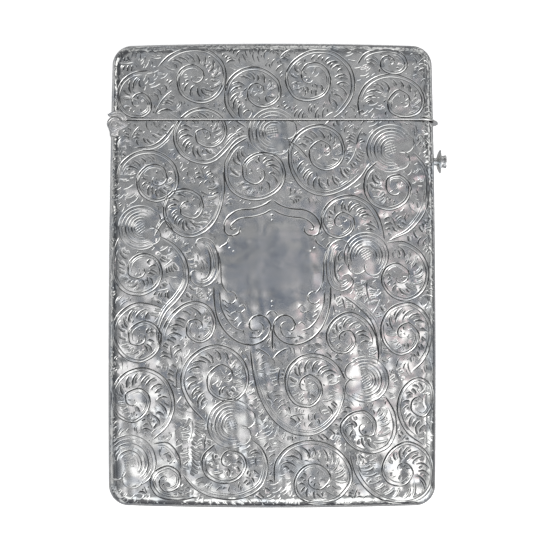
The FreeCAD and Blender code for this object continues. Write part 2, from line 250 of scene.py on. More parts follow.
class Pattern:
    """All cuts of one plate: lines with a width, a depth and a lean. It also knows which metal is
    taken, so that the finer cuts stop short of the ones already there."""

    CELL = 0.08
    X0, Y0 = -42.0, -56.0
    WIDTH, HEIGHT = 84, 112

    def __init__(self):
        self.cuts = []
        self.taken = np.zeros((int(self.WIDTH / self.CELL), int(self.HEIGHT / self.CELL)), bool)

    def block(self, x, y, r):
        """Marks the metal within r of a point as taken."""
        i0 = max(int((x - r - self.X0) / self.CELL), 0)
        i1 = min(int((x + r - self.X0) / self.CELL) + 1, self.taken.shape[0])
        j0 = max(int((y - r - self.Y0) / self.CELL), 0)
        j1 = min(int((y + r - self.Y0) / self.CELL) + 1, self.taken.shape[1])
        if i1 <= i0 or j1 <= j0:
            return
        gx = np.arange(i0, i1) * self.CELL + self.X0 - x
        gy = np.arange(j0, j1) * self.CELL + self.Y0 - y
        self.taken[i0:i1, j0:j1] |= gx[:, None] ** 2 + gy[None, :] ** 2 < r * r

    def is_free(self, x, y, room):
        """True where the metal is free at a point and at four places round it."""
        for ox, oy in ((0, 0), (room, 0), (-room, 0), (0, room), (0, -room)):
            i = int((x + ox - self.X0) / self.CELL)
            j = int((y + oy - self.Y0) / self.CELL)
            if not (0 <= i < self.taken.shape[0] and 0 <= j < self.taken.shape[1]):
                return False
            if self.taken[i, j]:
                return False
        return True

    def cut(self, p, width=0.3, depth=0.08, ends=(0.12, 0.12), lean=0.0):
        """A V cut along p that thins out towards both ends. lean puts the floor nearer one edge."""
        p = np.asarray(p, float)
        run = running(p)
        s = run / run[-1]
        a = np.clip(s / max(ends[0], 1e-3), 0, 1)
        b = np.clip((1 - s) / max(ends[1], 1e-3), 0, 1)
        full = np.sqrt(a * (2 - a) * b * (2 - b))
        self.cuts.append((p, width / 2 * full * (1 + lean), width / 2 * full * (1 - lean), depth * full))
        for (x, y), f in zip(p, full):
            self.block(x, y, 0.06 + width / 2 * f)

    def fit(self, p, width, depth, ends=(0.5, 0.25), lean=0.0, room=0.12, least=0.5):
        """Cuts as much of p as lies on free metal, and nothing if that is too short."""
        p = np.asarray(p, float)
        ok = [self.is_free(x, y, room) for x, y in p]
        first = 0
        while first < len(p) and not ok[first]:
            first += 1
        last = first
        while last < len(p) and ok[last]:
            last += 1
        if first > len(p) // 2 or last - first < 3:
            return None
        part = p[first:last]
        length = np.hypot(*np.diff(part, axis=0).T).sum()
        if length < least:
            return None
        self.cut(part, width, depth, ends, lean)
        return part[-1]

    def keep(self, p, radius):
        """Metal that stays smooth, within radius of the line p."""
        for x, y in p:
            self.block(x, y, radius)


def curl(base, angle, length, bend):
    """The points of a short curved cut."""
    x, y = base
    pts = [(x, y)]
    for i in range(5):
        a = angle + bend * (i + 0.5) / 5
        x += math.cos(a) * length / 5
        y += math.sin(a) * length / 5
        pts.append((x, y))
    return curve(pts, step=max(0.13, length / 9))


def comma(pattern, base, angle, length, bend, width=0.34, depth=0.1, lean=0.35):
    """A bright comma cut that starts at base, heads along angle and bends by bend over its length."""
    lean = lean if bend > 0 else -lean
    return pattern.fit(curl(base, angle, length, bend), width, depth, lean=lean)


class Scroll:
    """A scroll: an outline that winds in through the points to the bud at eye.
    hand is 1 where it winds anticlockwise and -1 where it winds clockwise."""

    TURN = 4.4

    def __init__(self, points, eye, r, hand, band=0.85):
        self.eye = np.array(eye, float)
        self.r = r
        self.hand = hand
        ex, ey = eye
        lx, ly = points[-1]
        self.a0 = math.atan2(ly - ey, lx - ex)
        self.r0 = math.hypot(lx - ex, ly - ey)
        tail = []
        for t in np.linspace(0.5, self.TURN, 9):
            tail.append(polar(ex, ey, self.tail_radius(t), self.a0 + hand * t))
        self.line = curve(list(points) + tail)
        self.run = running(self.line)
        self.s = self.run / self.run[-1]
        self.width = band * (1 - 0.55 * self.s)

    def tail_radius(self, t):
        return self.r0 * (0.45 * self.r / self.r0) ** (t / self.TURN)

    def beside(self, off):
        """The line that runs off millimetres inside the ribbon's inner edge."""
        return shifted(self.line, self.hand * (self.width + off))

    def draw(self, pattern):
        pattern.cut(self.line, 0.38, 0.125, ends=(0.03, 0.08), lean=0.2 * self.hand)
        keep = (self.s > 0.04) & (self.s < 0.8)
        pattern.cut(self.beside(0)[keep], 0.28, 0.095, ends=(0.1, 0.1), lean=-0.2 * self.hand)
        pattern.keep(shifted(self.line, self.hand * self.width * 0.5)[keep][::2], 0.36)
        ex, ey = self.eye
        end = self.a0 + self.hand * self.TURN
        nub = [polar(ex, ey, 0.2 * self.r, end + self.hand * t) for t in np.linspace(0, 3.4, 5)]
        pattern.cut(curve(nub), 0.3, 0.09, ends=(0.4, 0.5), lean=0.3 * self.hand)

    def dress(self, pattern):
        """The finer cuts: curls in the eye, curled lobes, and flowing lines beside the ribbon."""
        hand = self.hand
        ex, ey = self.eye
        for t in (0.5, 1.15, 1.8, 2.5):
            rr = self.tail_radius(t) - 0.32
            start = polar(ex, ey, rr, self.a0 + hand * t)
            comma(pattern, start, self.a0 + hand * (t + 2.4), 0.45 * rr + 0.3, hand * 1.5, 0.31, 0.1)
        self.lobes(pattern, 0.12, (1.8, 2.9), (1.2, 3.9), (0.15, 0.6), (1.3, 2.1))
        for lo, hi, off, wide in (
            (0.02, 0.3, 0.42, 0.28),
            (0.05, 0.26, 0.9, 0.25),
            (0.3, 0.58, 0.42, 0.27),
            (0.34, 0.54, 0.88, 0.24),
            (0.58, 0.9, 0.36, 0.26),
        ):
            lo += rng.uniform(-0.02, 0.03)
            hi += rng.uniform(-0.04, 0.03)
            part = self.beside(off)[(self.s > lo) & (self.s < hi)]
            while len(part) > 5:
                end = pattern.fit(part, wide, 0.32 * wide, ends=(0.3, 0.6), lean=-0.2 * hand, least=0.8)
                if end is None:
                    part = part[3:]
                else:
                    done = int(np.argmin(np.hypot(*(part - end).T)))
                    part = part[done + 3 :]
        self.lobes(pattern, 0.8, (2.1, 3.6), (0.9, 2.2), (0.4, 0.9), (1.3, 2.0))
        for k in range(6):
            t = self.a0 - hand * (0.3 + 0.62 * k)
            rr = self.r0 + 0.3 + 0.1 * k
            start = polar(ex, ey, rr, t)
            comma(pattern, start, t - hand * 0.3, rng.uniform(0.8, 1.25), -hand * 1.5, 0.31, 0.1)

    def lobes(self, pattern, off, spacing, length, lead, bend):
        """Curled lobes at off inside the ribbon, turned in by lead and then by bend."""
        at = 0.05 * self.run[-1]
        while at < 0.72 * self.run[-1]:
            i = int(np.clip(np.searchsorted(self.run, at), 1, len(self.line) - 2))
            room = math.hypot(*(self.line[i] - self.eye)) - self.width[i] - self.r0 * 0.8
            heading = math.atan2(*(self.line[i + 1] - self.line[i - 1])[::-1])
            if room > 0.7:
                start = self.beside(min(off, 0.5 * room))[i]
                reach = min(length[1], 1.1 * room + 0.4) * rng.uniform(0.85, 1.1)
                if reach > length[0]:
                    angle = heading + self.hand * rng.uniform(*lead)
                    claw(pattern, start, angle, reach, self.hand * rng.uniform(*bend))
            at += rng.uniform(*spacing)


def claw(pattern, base, angle, length, bend):
    """One acanthus lobe: a curled cut, with a shorter one that springs from its tip if it is long."""
    side = 1 if bend > 0 else -1
    tip = comma(pattern, base, angle, length, bend, 0.34 + 0.03 * length, 0.105)
    if tip is not None and length > 1.2:
        back = angle + bend + math.pi - side * 1.0
        start = polar(*tip, 0.25, back)
        comma(pattern, start, back, length * 0.4, side * 1.5, 0.24, 0.075)
        start = polar(*base, 0.42, angle + side * 1.1)
        comma(pattern, start, angle + side * 0.15, length * 0.6, bend * 0.8, 0.18, 0.055)


def stem(pattern, points, hand, band=0.8):
    """A ribbon with no bud. Returns what its leaves need."""
    line = curve(points)
    s = np.linspace(0, 1, len(line))
    pattern.cut(line, 0.36, 0.12, ends=(0.06, 0.06), lean=0.2 * hand)
    inner = shifted(line, hand * band * np.sin(np.pi * np.clip(s, 0.02, 0.98)) ** 0.5)
    pattern.cut(inner[1:-1], 0.24, 0.075, ends=(0.15, 0.15))
    pattern.keep(shifted(line, hand * band * 0.5)[::2], band * 0.42)
    return line, inner, hand


def dress_stem(pattern, line, inner, hand):
    """Lobes along both sides of a ribbon."""
    run = running(line)
    hair = shifted(inner, hand * 0.42)
    pattern.fit(hair[len(hair) // 6 : -len(hair) // 6], 0.22, 0.065, ends=(0.4, 0.5), least=1.0)
    at = 0.1 * run[-1]
    while at < 0.9 * run[-1]:
        i = int(np.clip(np.searchsorted(run, at), 1, len(line) - 2))
        heading = math.atan2(*(line[i + 1] - line[i - 1])[::-1])
        start = shifted(inner, hand * 0.12)[i]
        claw(pattern, start, heading + hand * 0.35, rng.uniform(1.9, 3.0), hand * 1.5)
        start = shifted(line, -hand * 0.12)[i]
        claw(pattern, start, heading - hand * 0.35, rng.uniform(1.9, 2.8), -hand * 1.5)
        at += rng.uniform(1.2, 1.6)


def shell(pattern, x, y, r, opening):
    """A scallop: nested arcs round a latticed heart, with two smooth lobes where it opens."""
    back = math.radians(opening + 180)
    arcs = ((1.0, 2.45), (0.87, 2.4), (0.72, 2.2), (0.6, 2.1), (0.47, 1.9), (0.36, 1.75))
    for k, (share, sweep) in enumerate(arcs):
        rr = r * share
        cx, cy = polar(x, y, r * 0.1 * (1 - share), back + math.pi)
        arc = [polar(cx, cy, rr, back + t) for t in np.linspace(-sweep, sweep, 11)]
        wide = 0.34 if k % 2 == 0 else 0.2
        pattern.cut(curve(arc), wide, 0.26 * wide, ends=(0.15, 0.15))
        if k % 2 == 1 and k < 5:
            dots = int(2 * sweep * rr / 1.25)
            for j in range(dots):
                t = -sweep + (j + 0.5) * 2 * sweep / dots
                px, py = polar(cx, cy, rr - 0.07 * r, back + t)
                tx, ty = -math.sin(back + t), math.cos(back + t)
                peck = [(px + reach * tx, py + reach * ty) for reach in (-0.16, 0, 0.16)]
                pattern.cut(np.array(peck), 0.22, 0.09, ends=(0.5, 0.5))
    pattern.keep([(x, y)], r * 1.02)
    heart = r * 0.27
    for k in range(-2, 3):
        for turn in (0.6, 0.6 + math.pi / 2):
            dx, dy = math.cos(back + turn), math.sin(back + turn)
            half = math.sqrt(max(heart**2 - (k * heart * 0.38) ** 2, 0.01))
            mx, my = x - dy * k * heart * 0.38, y + dx * k * heart * 0.38
            ends = [(mx - dx * half, my - dy * half), (mx + dx * half, my + dy * half)]
            pattern.cut(curve(ends, step=0.4), 0.13, 0.045, ends=(0.2, 0.2))
    for side in (1, -1):
        a = math.radians(opening) + side * 0.62
        lx, ly = polar(x, y, r * 0.62, a)
        lobe = [polar(lx, ly, r * 0.42, a + side * t) for t in np.linspace(-2.5, 1.4, 8)]
        pattern.cut(curve(lobe), 0.3, 0.09, ends=(0.2, 0.2), lean=0.3 * side)
        for k in range(2):
            angle = a + side * (0.25 + 0.5 * k)
            comma(pattern, polar(lx, ly, -r * 0.2, a), angle, r * 0.36, -side * 0.7, 0.24, 0.06)


def leaf(pattern, x, y, direction, length, count, spread):
    """A leaf: a bent spine with blades on both sides that sweep outwards."""
    a = math.radians(direction)
    turn = 1 if math.sin(3.1 * x + 1.7 * y) > 0 else -1
    bend = turn * 0.7
    spine = [(x, y)]
    px, py = x, y
    for k in range(8):
        h = a + bend * (k + 0.5) / 8
        px += math.cos(h) * length / 8
        py += math.sin(h) * length / 8
        spine.append((px, py))
    pattern.fit(curve(spine[::2], step=0.3), 0.3, 0.09, ends=(0.2, 0.5), lean=0.3 * turn, least=1.0)
    open_angle = 0.3 + math.radians(spread) * 0.3
    for k in range(count):
        u = (k + 0.3) / count
        i = min(int(u * 7), 7)
        h = a + bend * u
        for side in (1, -1):
            reach = length * (0.66 - 0.36 * u) * rng.uniform(0.85, 1.1)
            start = polar(*spine[i], 0.15, h + side * 1.5)
            claw(pattern, start, h + side * open_angle * 0.5, reach, side * 1.5)


def line(pattern, points, width, depth, ends=(0.08, 0.08), lean=0.0):
    """A smooth cut through the points."""
    pattern.cut(curve(points), width, depth, ends, lean)


def dot(pattern, x, y, r):
    """A short deep peck."""
    p = np.array([(x - r, y), (x, y), (x + r, y)])
    pattern.cut(p, 2 * r, 0.13, ends=(0.6, 0.6))


# ---------------------------------------------------------------- the design


def cartouche(pattern):
    """The blank shield in the middle, with its strapwork frame."""
    for side in (-1, 1):

        def m(points, s=side):
            return [(s * x, y) for x, y in points]

        line(pattern, m([(0, 15.2), (1.6, 14), (4, 13.2), (7, 12.9), (9.1, 11.6), (10, 9.7), (9.6, 8),
            (8.2, 7.5), (6.8, 8.3), (6.7, 9.6)]), 0.46, 0.145)
        line(pattern, m([(0, 13.2), (1.6, 12.2), (4, 11.5), (6.6, 11.2), (8.1, 10.3), (8.7, 9.3),
            (8.1, 8.6), (7.5, 9.2)]), 0.4, 0.13)
        pattern.keep(m([(k, 12.6) for k in range(0, 10)]), 1.2)
        line(pattern, m([(8.9, 7.2), (9.4, 6), (11, 5)]), 0.4, 0.13)
        line(pattern, m([(11.3, 4.6), (10.7, 2), (10.6, -0.5), (10.5, -2), (9.9, -3.5), (8.9, -4.4)]),
            0.36, 0.12)
        line(pattern, m([(9.4, -4.0), (8, -4.2), (7.3, -5.4), (8.2, -6.6), (9.4, -6.4), (9.9, -5.6)]),
            0.34, 0.11)
        line(pattern, m([(12.1, -2.6), (11.9, -7), (10.6, -11), (8, -13.9), (4.8, -15.1), (2, -14.3),
            (0.4, -12.3), (0.5, -10.3), (2, -9), (3.9, -9.3), (4.8, -10.9), (4, -12.2), (2.9, -12)]),
            0.46, 0.145)
        line(pattern, m([(10.9, -3.6), (10.6, -7), (9.2, -10), (7.4, -11.8), (5.9, -12.1)]), 0.38, 0.12)
        line(pattern, m([(5.2, -13.5), (3, -13.6), (1.8, -12.2), (1.9, -10.8), (3, -10.2)]), 0.32, 0.11)
        comma(pattern, (side * 4.0, -12.9), math.pi / 2 + side * -0.6, 1.7, side * 1.4, 0.5, 0.14)
        line(pattern, m([(9.3, -9.8), (7.8, -10.1), (6.9, -9.2)]), 0.3, 0.1)
        line(pattern, m([(7.2, -11.4), (6.2, -10.4), (5.4, -10.8)]), 0.3, 0.1)
        line(pattern, m([(8.9, -8.9), (7.3, -8.1), (6.4, -8.6), (5.6, -7.6)]), 0.3, 0.1)
        line(pattern, m([(6.9, -7.2), (5.9, -6.9), (5.2, -7.9)]), 0.3, 0.1)
        for k in range(4):
            root = (side * (10.4 - 0.35 * k), -5.6 - k)
            comma(pattern, root, -math.pi / 2 - side * 0.5, 1.3, -side * 0.8, 0.38, 0.12)
        line(pattern, m([(0, -7.9), (0.7, -8.4), (1.4, -9.3)]), 0.42, 0.13)
        dot(pattern, side * 8.8, 5.0, 0.3)
        dot(pattern, side * 8.0, 4.3, 0.24)
        line(pattern, m([(0.2, -17.9), (1.5, -16.6), (3.4, -15.6)]), 0.4, 0.13)
    line(pattern, [(0, -11.2), (0, -14), (0, -16.4)], 0.42, 0.13)
    for x, y, r in ((0, 11.9, 0.34), (0, 10.8, 0.28), (0, -6.1, 0.28), (0, -7.1, 0.24)):
        dot(pattern, x, y, r)
    shield = [(0, 12), (8, 10), (10.4, 4), (10.4, -4), (8, -8), (4, -12), (0, -9)]
    whole = np.array(shield + [(-x, y) for x, y in shield[::-1]])
    for t in np.linspace(-9, 9, 19):
        for u in np.linspace(-13, 13, 27):
            if inside(whole, np.array([[t, u]]))[0]:
                pattern.keep([(t, u)], 1.0)


SCROLLS = [
    # outline points, eye, bud radius, hand
    ([(-24, 43), (-21.5, 45.6), (-17.5, 47.2), (-13, 46.6), (-10, 43.5), (-9.8, 39.5), (-12, 36.3),
        (-15.5, 35.4), (-19, 37.2), (-20, 40.5), (-18.8, 42.9), (-16.2, 43.6), (-14.3, 42)], (-16.3, 40.9),
        1.2, -1),
    ([(-5.2, 30.2), (-8, 32.2), (-9.9, 35.5), (-9.3, 40), (-6, 42.8), (-2, 42.8), (1.3, 40.3), (1.8, 37),
        (-0.2, 34.9), (-3, 34.7), (-5.2, 36.7), (-4.6, 39.2)], (-2.6, 37.9), 1.0, -1),
    ([(-25.6, 42.3), (-29, 41.9), (-31.7, 39.8), (-32.6, 36.2), (-31, 33.3), (-28, 32.2), (-25.6, 33.4),
        (-25.2, 35.6), (-26.6, 37.5)], (-28.1, 35.4), 1.3, 1),
    ([(-5.2, 28.6), (-7.5, 27.6), (-9.6, 25.2), (-12, 23.1), (-15, 22.6), (-18.7, 24.2), (-20.6, 27.5),
        (-20, 31), (-17.3, 33.8), (-13.8, 34.4), (-10.6, 32.8), (-9.4, 29.6), (-10.6, 27), (-13, 26),
        (-15.6, 27.1), (-16, 29.2)], (-13.7, 28.3), 1.1, -1),
    ([(-32.4, 19), (-31.6, 22.5), (-28.5, 25), (-24.5, 25.4), (-20.8, 23.2), (-19.4, 19.5), (-20.8, 16),
        (-24.3, 14.6), (-27.4, 16.2), (-28.2, 19.6), (-26, 22.3), (-23, 22.2), (-21.8, 20)], (-24.2, 19.4),
        1.3, -1),
    ([(-5.0, 28.3), (-8.3, 26), (-10, 22), (-9.2, 17.8), (-6, 15.3), (-1.8, 15.2), (1.8, 17.5), (2.8, 21),
        (1, 24.3), (-2.8, 25), (-5.8, 23), (-6, 19.8), (-3.8, 18.3)], (-2.9, 21), 1.1, 1),
    ([(11, 31.0), (14.8, 33.8), (17.2, 38), (16.6, 42.8), (13, 46.2), (8.2, 46.6), (4, 44), (2.7, 40.2),
        (4.6, 36.6), (8, 35.9), (11.2, 37.3), (12.3, 40.6), (10.6, 43.6), (7.6, 43.9)], (8, 40.7),
        1.3, 1),
    ([(17.7, 43.5), (19.5, 46), (23, 47), (26.8, 46.3), (28.4, 43.8), (27.2, 41.9), (24.8, 41.6),
        (22.7, 43), (23, 45)], (24.9, 44), 0.8, -1),
    ([(18.3, 32.6), (17.9, 36), (19.4, 39.3), (22.6, 41.3), (26.5, 41.4), (30.4, 39.4), (31.9, 36),
        (30.6, 33.2), (27.3, 32.4), (24.6, 33.6), (24.2, 36), (26, 38.2)], (27.3, 35.3), 1.3, -1),
    ([(20.3, 22.8), (18.3, 19.7), (14.5, 16.9), (10, 15.9), (5.8, 18), (3.5, 22.3), (3.8, 26.8), (6.5, 30),
        (10.3, 30.9), (13.7, 29.3), (15.2, 25.8), (14.2, 22.7), (11.3, 21.2), (8.4, 22.6), (7.7, 25.5),
        (9.5, 27.4)], (11, 25), 1.1, -1),
    ([(22, 23.2), (19.6, 20.8), (19.1, 17.2), (20.8, 14.1), (24.6, 12.9), (28, 14.7), (28.9, 18),
        (26.8, 20.3), (24.2, 19.9)], (26, 17.2), 1.2, 1),
    ([(-10.2, 21.5), (-9.9, 16.5), (-11.5, 11), (-14.6, 7.9), (-18.3, 7.3), (-21.7, 9.8), (-22.7, 13.6),
        (-21, 16.7), (-17.8, 17.4), (-15, 16), (-14.3, 13.2), (-16, 11.1), (-18.8, 11.9)], (-17.2, 13.7),
        1.2, -1),
    ([(-31.8, 7.2), (-33.2, 3.2), (-33, -1), (-30.6, -4.2), (-27, -4.9), (-23.8, -3.1), (-22.7, 0.2),
        (-24.2, 3.1), (-27, 3.9), (-29.4, 2.4), (-29.9, -0.2)], (-27.3, 0.5), 1.3, 1),
    ([(-22.3, -7.6), (-25.3, -6.6), (-29, -6.6), (-32.3, -9.4), (-33.1, -13.3), (-31.2, -17.2),
        (-27.6, -18.8), (-24, -17), (-22.8, -13.4), (-24.3, -10.8), (-27, -10.2), (-29.5, -12),
        (-29.4, -14.6)], (-27.2, -13.3), 1.3, 1),
    ([(-23.3, -15.5), (-22.5, -11.5), (-20.2, -8), (-16.8, -6.1), (-13.3, -6.9), (-11.6, -10),
        (-12.4, -13.2), (-15, -14.7), (-17.6, -13), (-17.4, -10.4)], (-15.2, -11.4), 0.9, -1),
    ([(-24.8, -34.8), (-21.3, -31.5), (-20, -26.8), (-22, -22), (-26.3, -19.8), (-30.6, -21), (-33.2, -25),
        (-32.2, -29.3), (-28.8, -31.1), (-25.9, -29.2), (-25.1, -26), (-27.2, -24),
        (-30, -24.9)], (-28.3, -26.6), 1.1, 1),
    ([(-15.5, -46.2), (-19.3, -47), (-23.3, -46.2), (-25.1, -43.2), (-23.8, -40.7), (-21, -39.9),
        (-18.8, -41.6), (-19.1, -44.2), (-21.4, -45.3)], (-21.8, -42.6), 0.9, -1),
    ([(-13.6, -31), (-17.3, -27), (-18.9, -22.4), (-17.3, -18), (-13.4, -15.3), (-9, -15.6), (-5.6, -18.7),
        (-4.8, -22.8), (-6.6, -26), (-9.7, -26.7), (-12.9, -24.8), (-13.3, -21.4),
        (-11, -19.2)], (-9.6, -22), 1.4, -1),
    ([(-11.5, -35.2), (-14.3, -38), (-13.8, -41.6), (-10.6, -43.5), (-7, -42.7), (-5.2, -39.8),
        (-6.3, -37.4), (-9, -36.8)], (-9, -39.2), 1.2, 1),
    ([(15.3, -22.6), (13.3, -19), (10, -17.1), (6, -17.3), (3.1, -20), (2.7, -23.8), (4.6, -27.2),
        (8, -27.9), (10.2, -25.6), (10, -22.8), (8, -21.2)], (7.0, -23.8), 1.1, 1),
    ([(23.2, -25.4), (25.2, -29), (25.5, -33), (23.6, -36.3), (19.8, -37.4), (15.9, -35.6), (13.9, -32),
        (15.8, -29.3), (19, -28.6), (21.3, -30.7), (21, -33.5)], (18.9, -31.8), 1.1, -1),
    ([(31.3, -35.7), (27.6, -33), (25.7, -28.7), (26.6, -24.3), (29.7, -21.8), (32.9, -23.3), (33.3, -27),
        (31.3, -29.9), (29, -29)], (30.5, -26.8), 1.2, -1),
    ([(0.4, -43.5), (0.6, -39.2), (3.2, -36), (7.5, -34.7), (12.3, -35.8), (15.7, -39), (16.4, -43),
        (13.6, -46.6), (9, -47.8), (5.3, -46.2), (4.5, -42.8), (6.6, -39.9), (9.9, -39.7), (12.1, -42.2),
        (10.3, -44.6)], (8.6, -42.4), 1.1, -1),
    ([(15.8, -37), (17, -41.4), (19.6, -45), (23.3, -47.2), (28, -47.7), (32, -45.4), (33.3, -41),
        (31.6, -36.8), (27.6, -34.9), (24, -36.9), (22.4, -40.7), (24, -43.5), (27, -43.9),
        (28.9, -41.8)], (26.4, -40.6), 1.2, 1),
    ([(23.4, 6.6), (22.4, 11), (19.8, 14.7), (15.8, 16.1), (12, 14.7), (10.1, 11.4), (11.2, 8.2), (14, 7),
        (16.7, 8.6), (17, 11.2), (14.8, 12.5)], (14.2, 10.1), 1.0, 1),
    ([(23.7, 6.2), (27.5, 6.3), (31, 4), (32.6, 0.2), (31.4, -3.9), (28, -6), (24.6, -5), (22.6, -2),
        (23.4, 0.9), (25.9, 1.9), (28.2, 0.4)], (26.3, -1.1), 1.3, -1),
    ([(28.6, -20.8), (31.6, -17.8), (33.2, -13.2), (32.2, -9), (28.8, -6.4), (24.8, -7.2), (22.5, -10.6),
        (23, -14.6), (26, -17.2), (29.2, -16), (30.4, -13), (28.6, -10.6)], (27.2, -12.9), 1.3, 1),
    ([(21.8, -16.5), (21.2, -12.6), (18.8, -9.4), (15.4, -8.3), (12.3, -10.2), (11.1, -13.3),
        (12.5, -16.2), (15.2, -16.9), (17.3, -14.8), (16.6, -12.4)], (14.7, -13.9), 0.9, 1),
]

STEMS = [
    ([(29.3, 25.2), (32, 22), (32.9, 17.5), (31.8, 12.5), (28.5, 8.5), (24.2, 6.6)], -1),
    ([(-23.5, 7.6), (-20, 5.6), (-17.6, 2), (-17.4, -2.2), (-19.3, -5.6), (-22, -8.6), (-23.4, -12.5),
        (-23, -16.3)], -1),
    ([(-18.6, -41.3), (-15.8, -44.6), (-11.5, -46.5), (-6.5, -46.6), (-2.2, -44.3), (-0.8, -40),
        (-2, -36.4), (-4.6, -34.2)], 1),
    ([(-4.6, -15.6), (-3.9, -21), (-2.3, -26.5), (0.7, -31), (5, -33.6), (9.7, -33.2), (13.4, -29.8),
        (14.9, -25.5), (14.3, -23.4)], 1),
    ([(14.6, -4.9), (18, -7.4), (20.9, -11), (21.9, -16), (21.7, -19)], 1),
    ([(3.2, 27.7), (5.6, 26.1), (7.6, 23.6)], -1),
    ([(-24.5, 7.4), (-22.2, 10.6), (-20.2, 8.2)], 1),
    ([(-24.7, -35.4), (-21.3, -35.2), (-19, -38), (-18.8, -40.4)], -1),
    ([(-20.4, 31), (-22.4, 28.4), (-25, 26.5), (-28.8, 26)], 1),
]

C_SCROLLS = [
    [(-14.6, 4.4), (-15.9, 5.6), (-15, 7), (-12.6, 6.5), (-11.3, 3.8), (-11.2, 0.2), (-12.5, -2.3),
        (-15, -3.1), (-16.9, -1.6), (-16.6, 0.2), (-15.3, 0.1)],
    [(15.7, 3.6), (15.9, 5.6), (14.2, 6.7), (12.1, 5.4), (11.2, 2), (11.4, -1.2), (12.7, -3.4),
        (14.9, -3.9), (16.8, -2.2), (15.9, -0.5), (14.3, -0.9)],
]

SHELLS = [
    (0.1, 29.3, 5.0, -25),
    (24.7, 25.8, 5.0, -15),
    (-27.3, 9.2, 4.6, 0),
    (19.5, 3.6, 4.6, -95),
    (-29.2, -39, 5.4, -115),
    (-8.3, -31.3, 5.0, -15),
    (19.3, -22.2, 4.7, 180),
]

LEAVES = [
    # root, direction, length, number of blades, spread
    (-24.5, 33, 75, 6.5, 5, 55),
    (-21, 36, 100, 5.0, 4, 60),
    (-29, 44, 200, 3.2, 4, 90),
    (-7.5, 44.6, 130, 3.4, 4, 80),
    (1.6, 45, 60, 3.0, 4, 120),
    (2.5, 33.6, 100, 2.6, 4, 110),
    (17.5, 33.4, 75, 3.0, 4, 80),
    (30.5, 43.6, 60, 3.4, 5, 110),
    (14, 33.5, 250, 3.6, 3, 60),
    (-29.5, 27.5, 80, 3.6, 5, 90),
    (-24, 28.5, 40, 3.4, 4, 80),
    (-31.5, 25.5, 250, 3.4, 4, 70),
    (-14, 19.4, 100, 3.6, 5, 110),
    (-13, 15, 80, 4.6, 4, 50),
    (-8, 28.6, 60, 3.0, 4, 90),
    (17.6, 26.6, 90, 4.0, 6, 140),
    (17.6, 26, 260, 4.2, 6, 140),
    (30.8, 29, 300, 4.0, 5, 90),
    (3.4, 15.6, 20, 3.4, 4, 80),
    (26, 8.2, 95, 4.6, 5, 80),
    (31, 8.4, 40, 3.4, 5, 100),
    (22.6, 3, 250, 3.0, 4, 80),
    (-20.6, 2.6, 230, 4.2, 6, 80),
    (-21.3, -3.4, 205, 3.4, 5, 80),
    (-31.6, 12.6, 130, 2.4, 4, 90),
    (-16.6, -4.3, 330, 3.2, 5, 110),
    (-13.8, -4.2, 300, 2.2, 3, 70),
    (-20, -14.8, 100, 5.0, 6, 60),
    (-20.6, -18, 110, 4.6, 5, 60),
    (-19.6, -24, 105, 5.0, 5, 50),
    (-31.8, -19.6, 190, 2.6, 4, 90),
    (-6.2, -16.2, 320, 3.4, 4, 70),
    (19.6, -1.8, 260, 4.6, 5, 50),
    (22.4, -5.6, 255, 5.4, 5, 40),
    (14.4, -5.2, 300, 3.0, 4, 90),
    (32, 5.8, 300, 2.6, 4, 80),
    (1.6, -19.8, 250, 4.0, 5, 80),
    (-1.2, -24.5, 250, 4.4, 4, 50),
    (12.4, -18.2, 60, 3.4, 4, 100),
    (12.6, -26, 250, 4.6, 5, 60),
    (3.4, -30, 30, 3.6, 5, 90),
    (-16.4, -30.2, 280, 5.6, 6, 50),
    (-17, -36, 285, 6.2, 7, 45),
    (-13.6, -33.4, 250, 4.6, 6, 60),
    (-24.4, -33, 100, 4.0, 5, 60),
    (-22.5, -37.6, 30, 3.2, 4, 90),
    (-25.6, -45.6, 100, 3.0, 4, 80),
    (-3.6, -43.4, 130, 3.4, 5, 90),
    (-3.2, -37, 250, 3.0, 4, 80),
    (17.8, -37.4, 330, 4.2, 4, 60),
    (19.6, -41, 320, 3.6, 5, 80),
    (24.6, -20, 320, 3.4, 5, 110),
    (22.2, -24.4, 250, 2.8, 4, 90),
    (26.6, -34.6, 60, 2.6, 4, 90),
    (2.6, -41, 50, 3.6, 4, 70),
    (16.8, -46.6, 90, 2.4, 4, 120),
    (31.6, -33, 280, 3.4, 4, 60),
    (13, -32.8, 330, 3.0, 4, 80),
]


def design():
    """Draws everything, the main lines first and then ever finer cuts on the metal that is left."""
    pattern = Pattern()
    scrolls = [Scroll(*args) for args in SCROLLS]
    for scroll in scrolls:
        scroll.draw(pattern)
    for args in SHELLS:
        shell(pattern, *args)
    cartouche(pattern)
    stems = [stem(pattern, points, hand) for points, hand in STEMS]
    for points in C_SCROLLS:
        c = curve(points)
        pattern.cut(c, 0.34, 0.1, ends=(0.06, 0.06))
        hand = -1 if points[0][0] < 0 else 1
        third = len(c) // 4
        pattern.cut(shifted(c, hand * 0.75)[third:-third], 0.26, 0.08)
        pattern.cut(shifted(c, hand * 1.15)[third:-third], 0.22, 0.07)
        pattern.cut(shifted(c, hand * 1.7)[third + 3 : -third - 3], 0.4, 0.11, ends=(0.5, 0.5), lean=0.4)
        pattern.keep(shifted(c, hand * 0.4)[::2], 0.4)
    for scroll in scrolls:
        scroll.dress(pattern)
    for parts in stems:
        dress_stem(pattern, *parts)
    for args in LEAVES:
        leaf(pattern, *args)
    fill_ground(pattern)
    return pattern


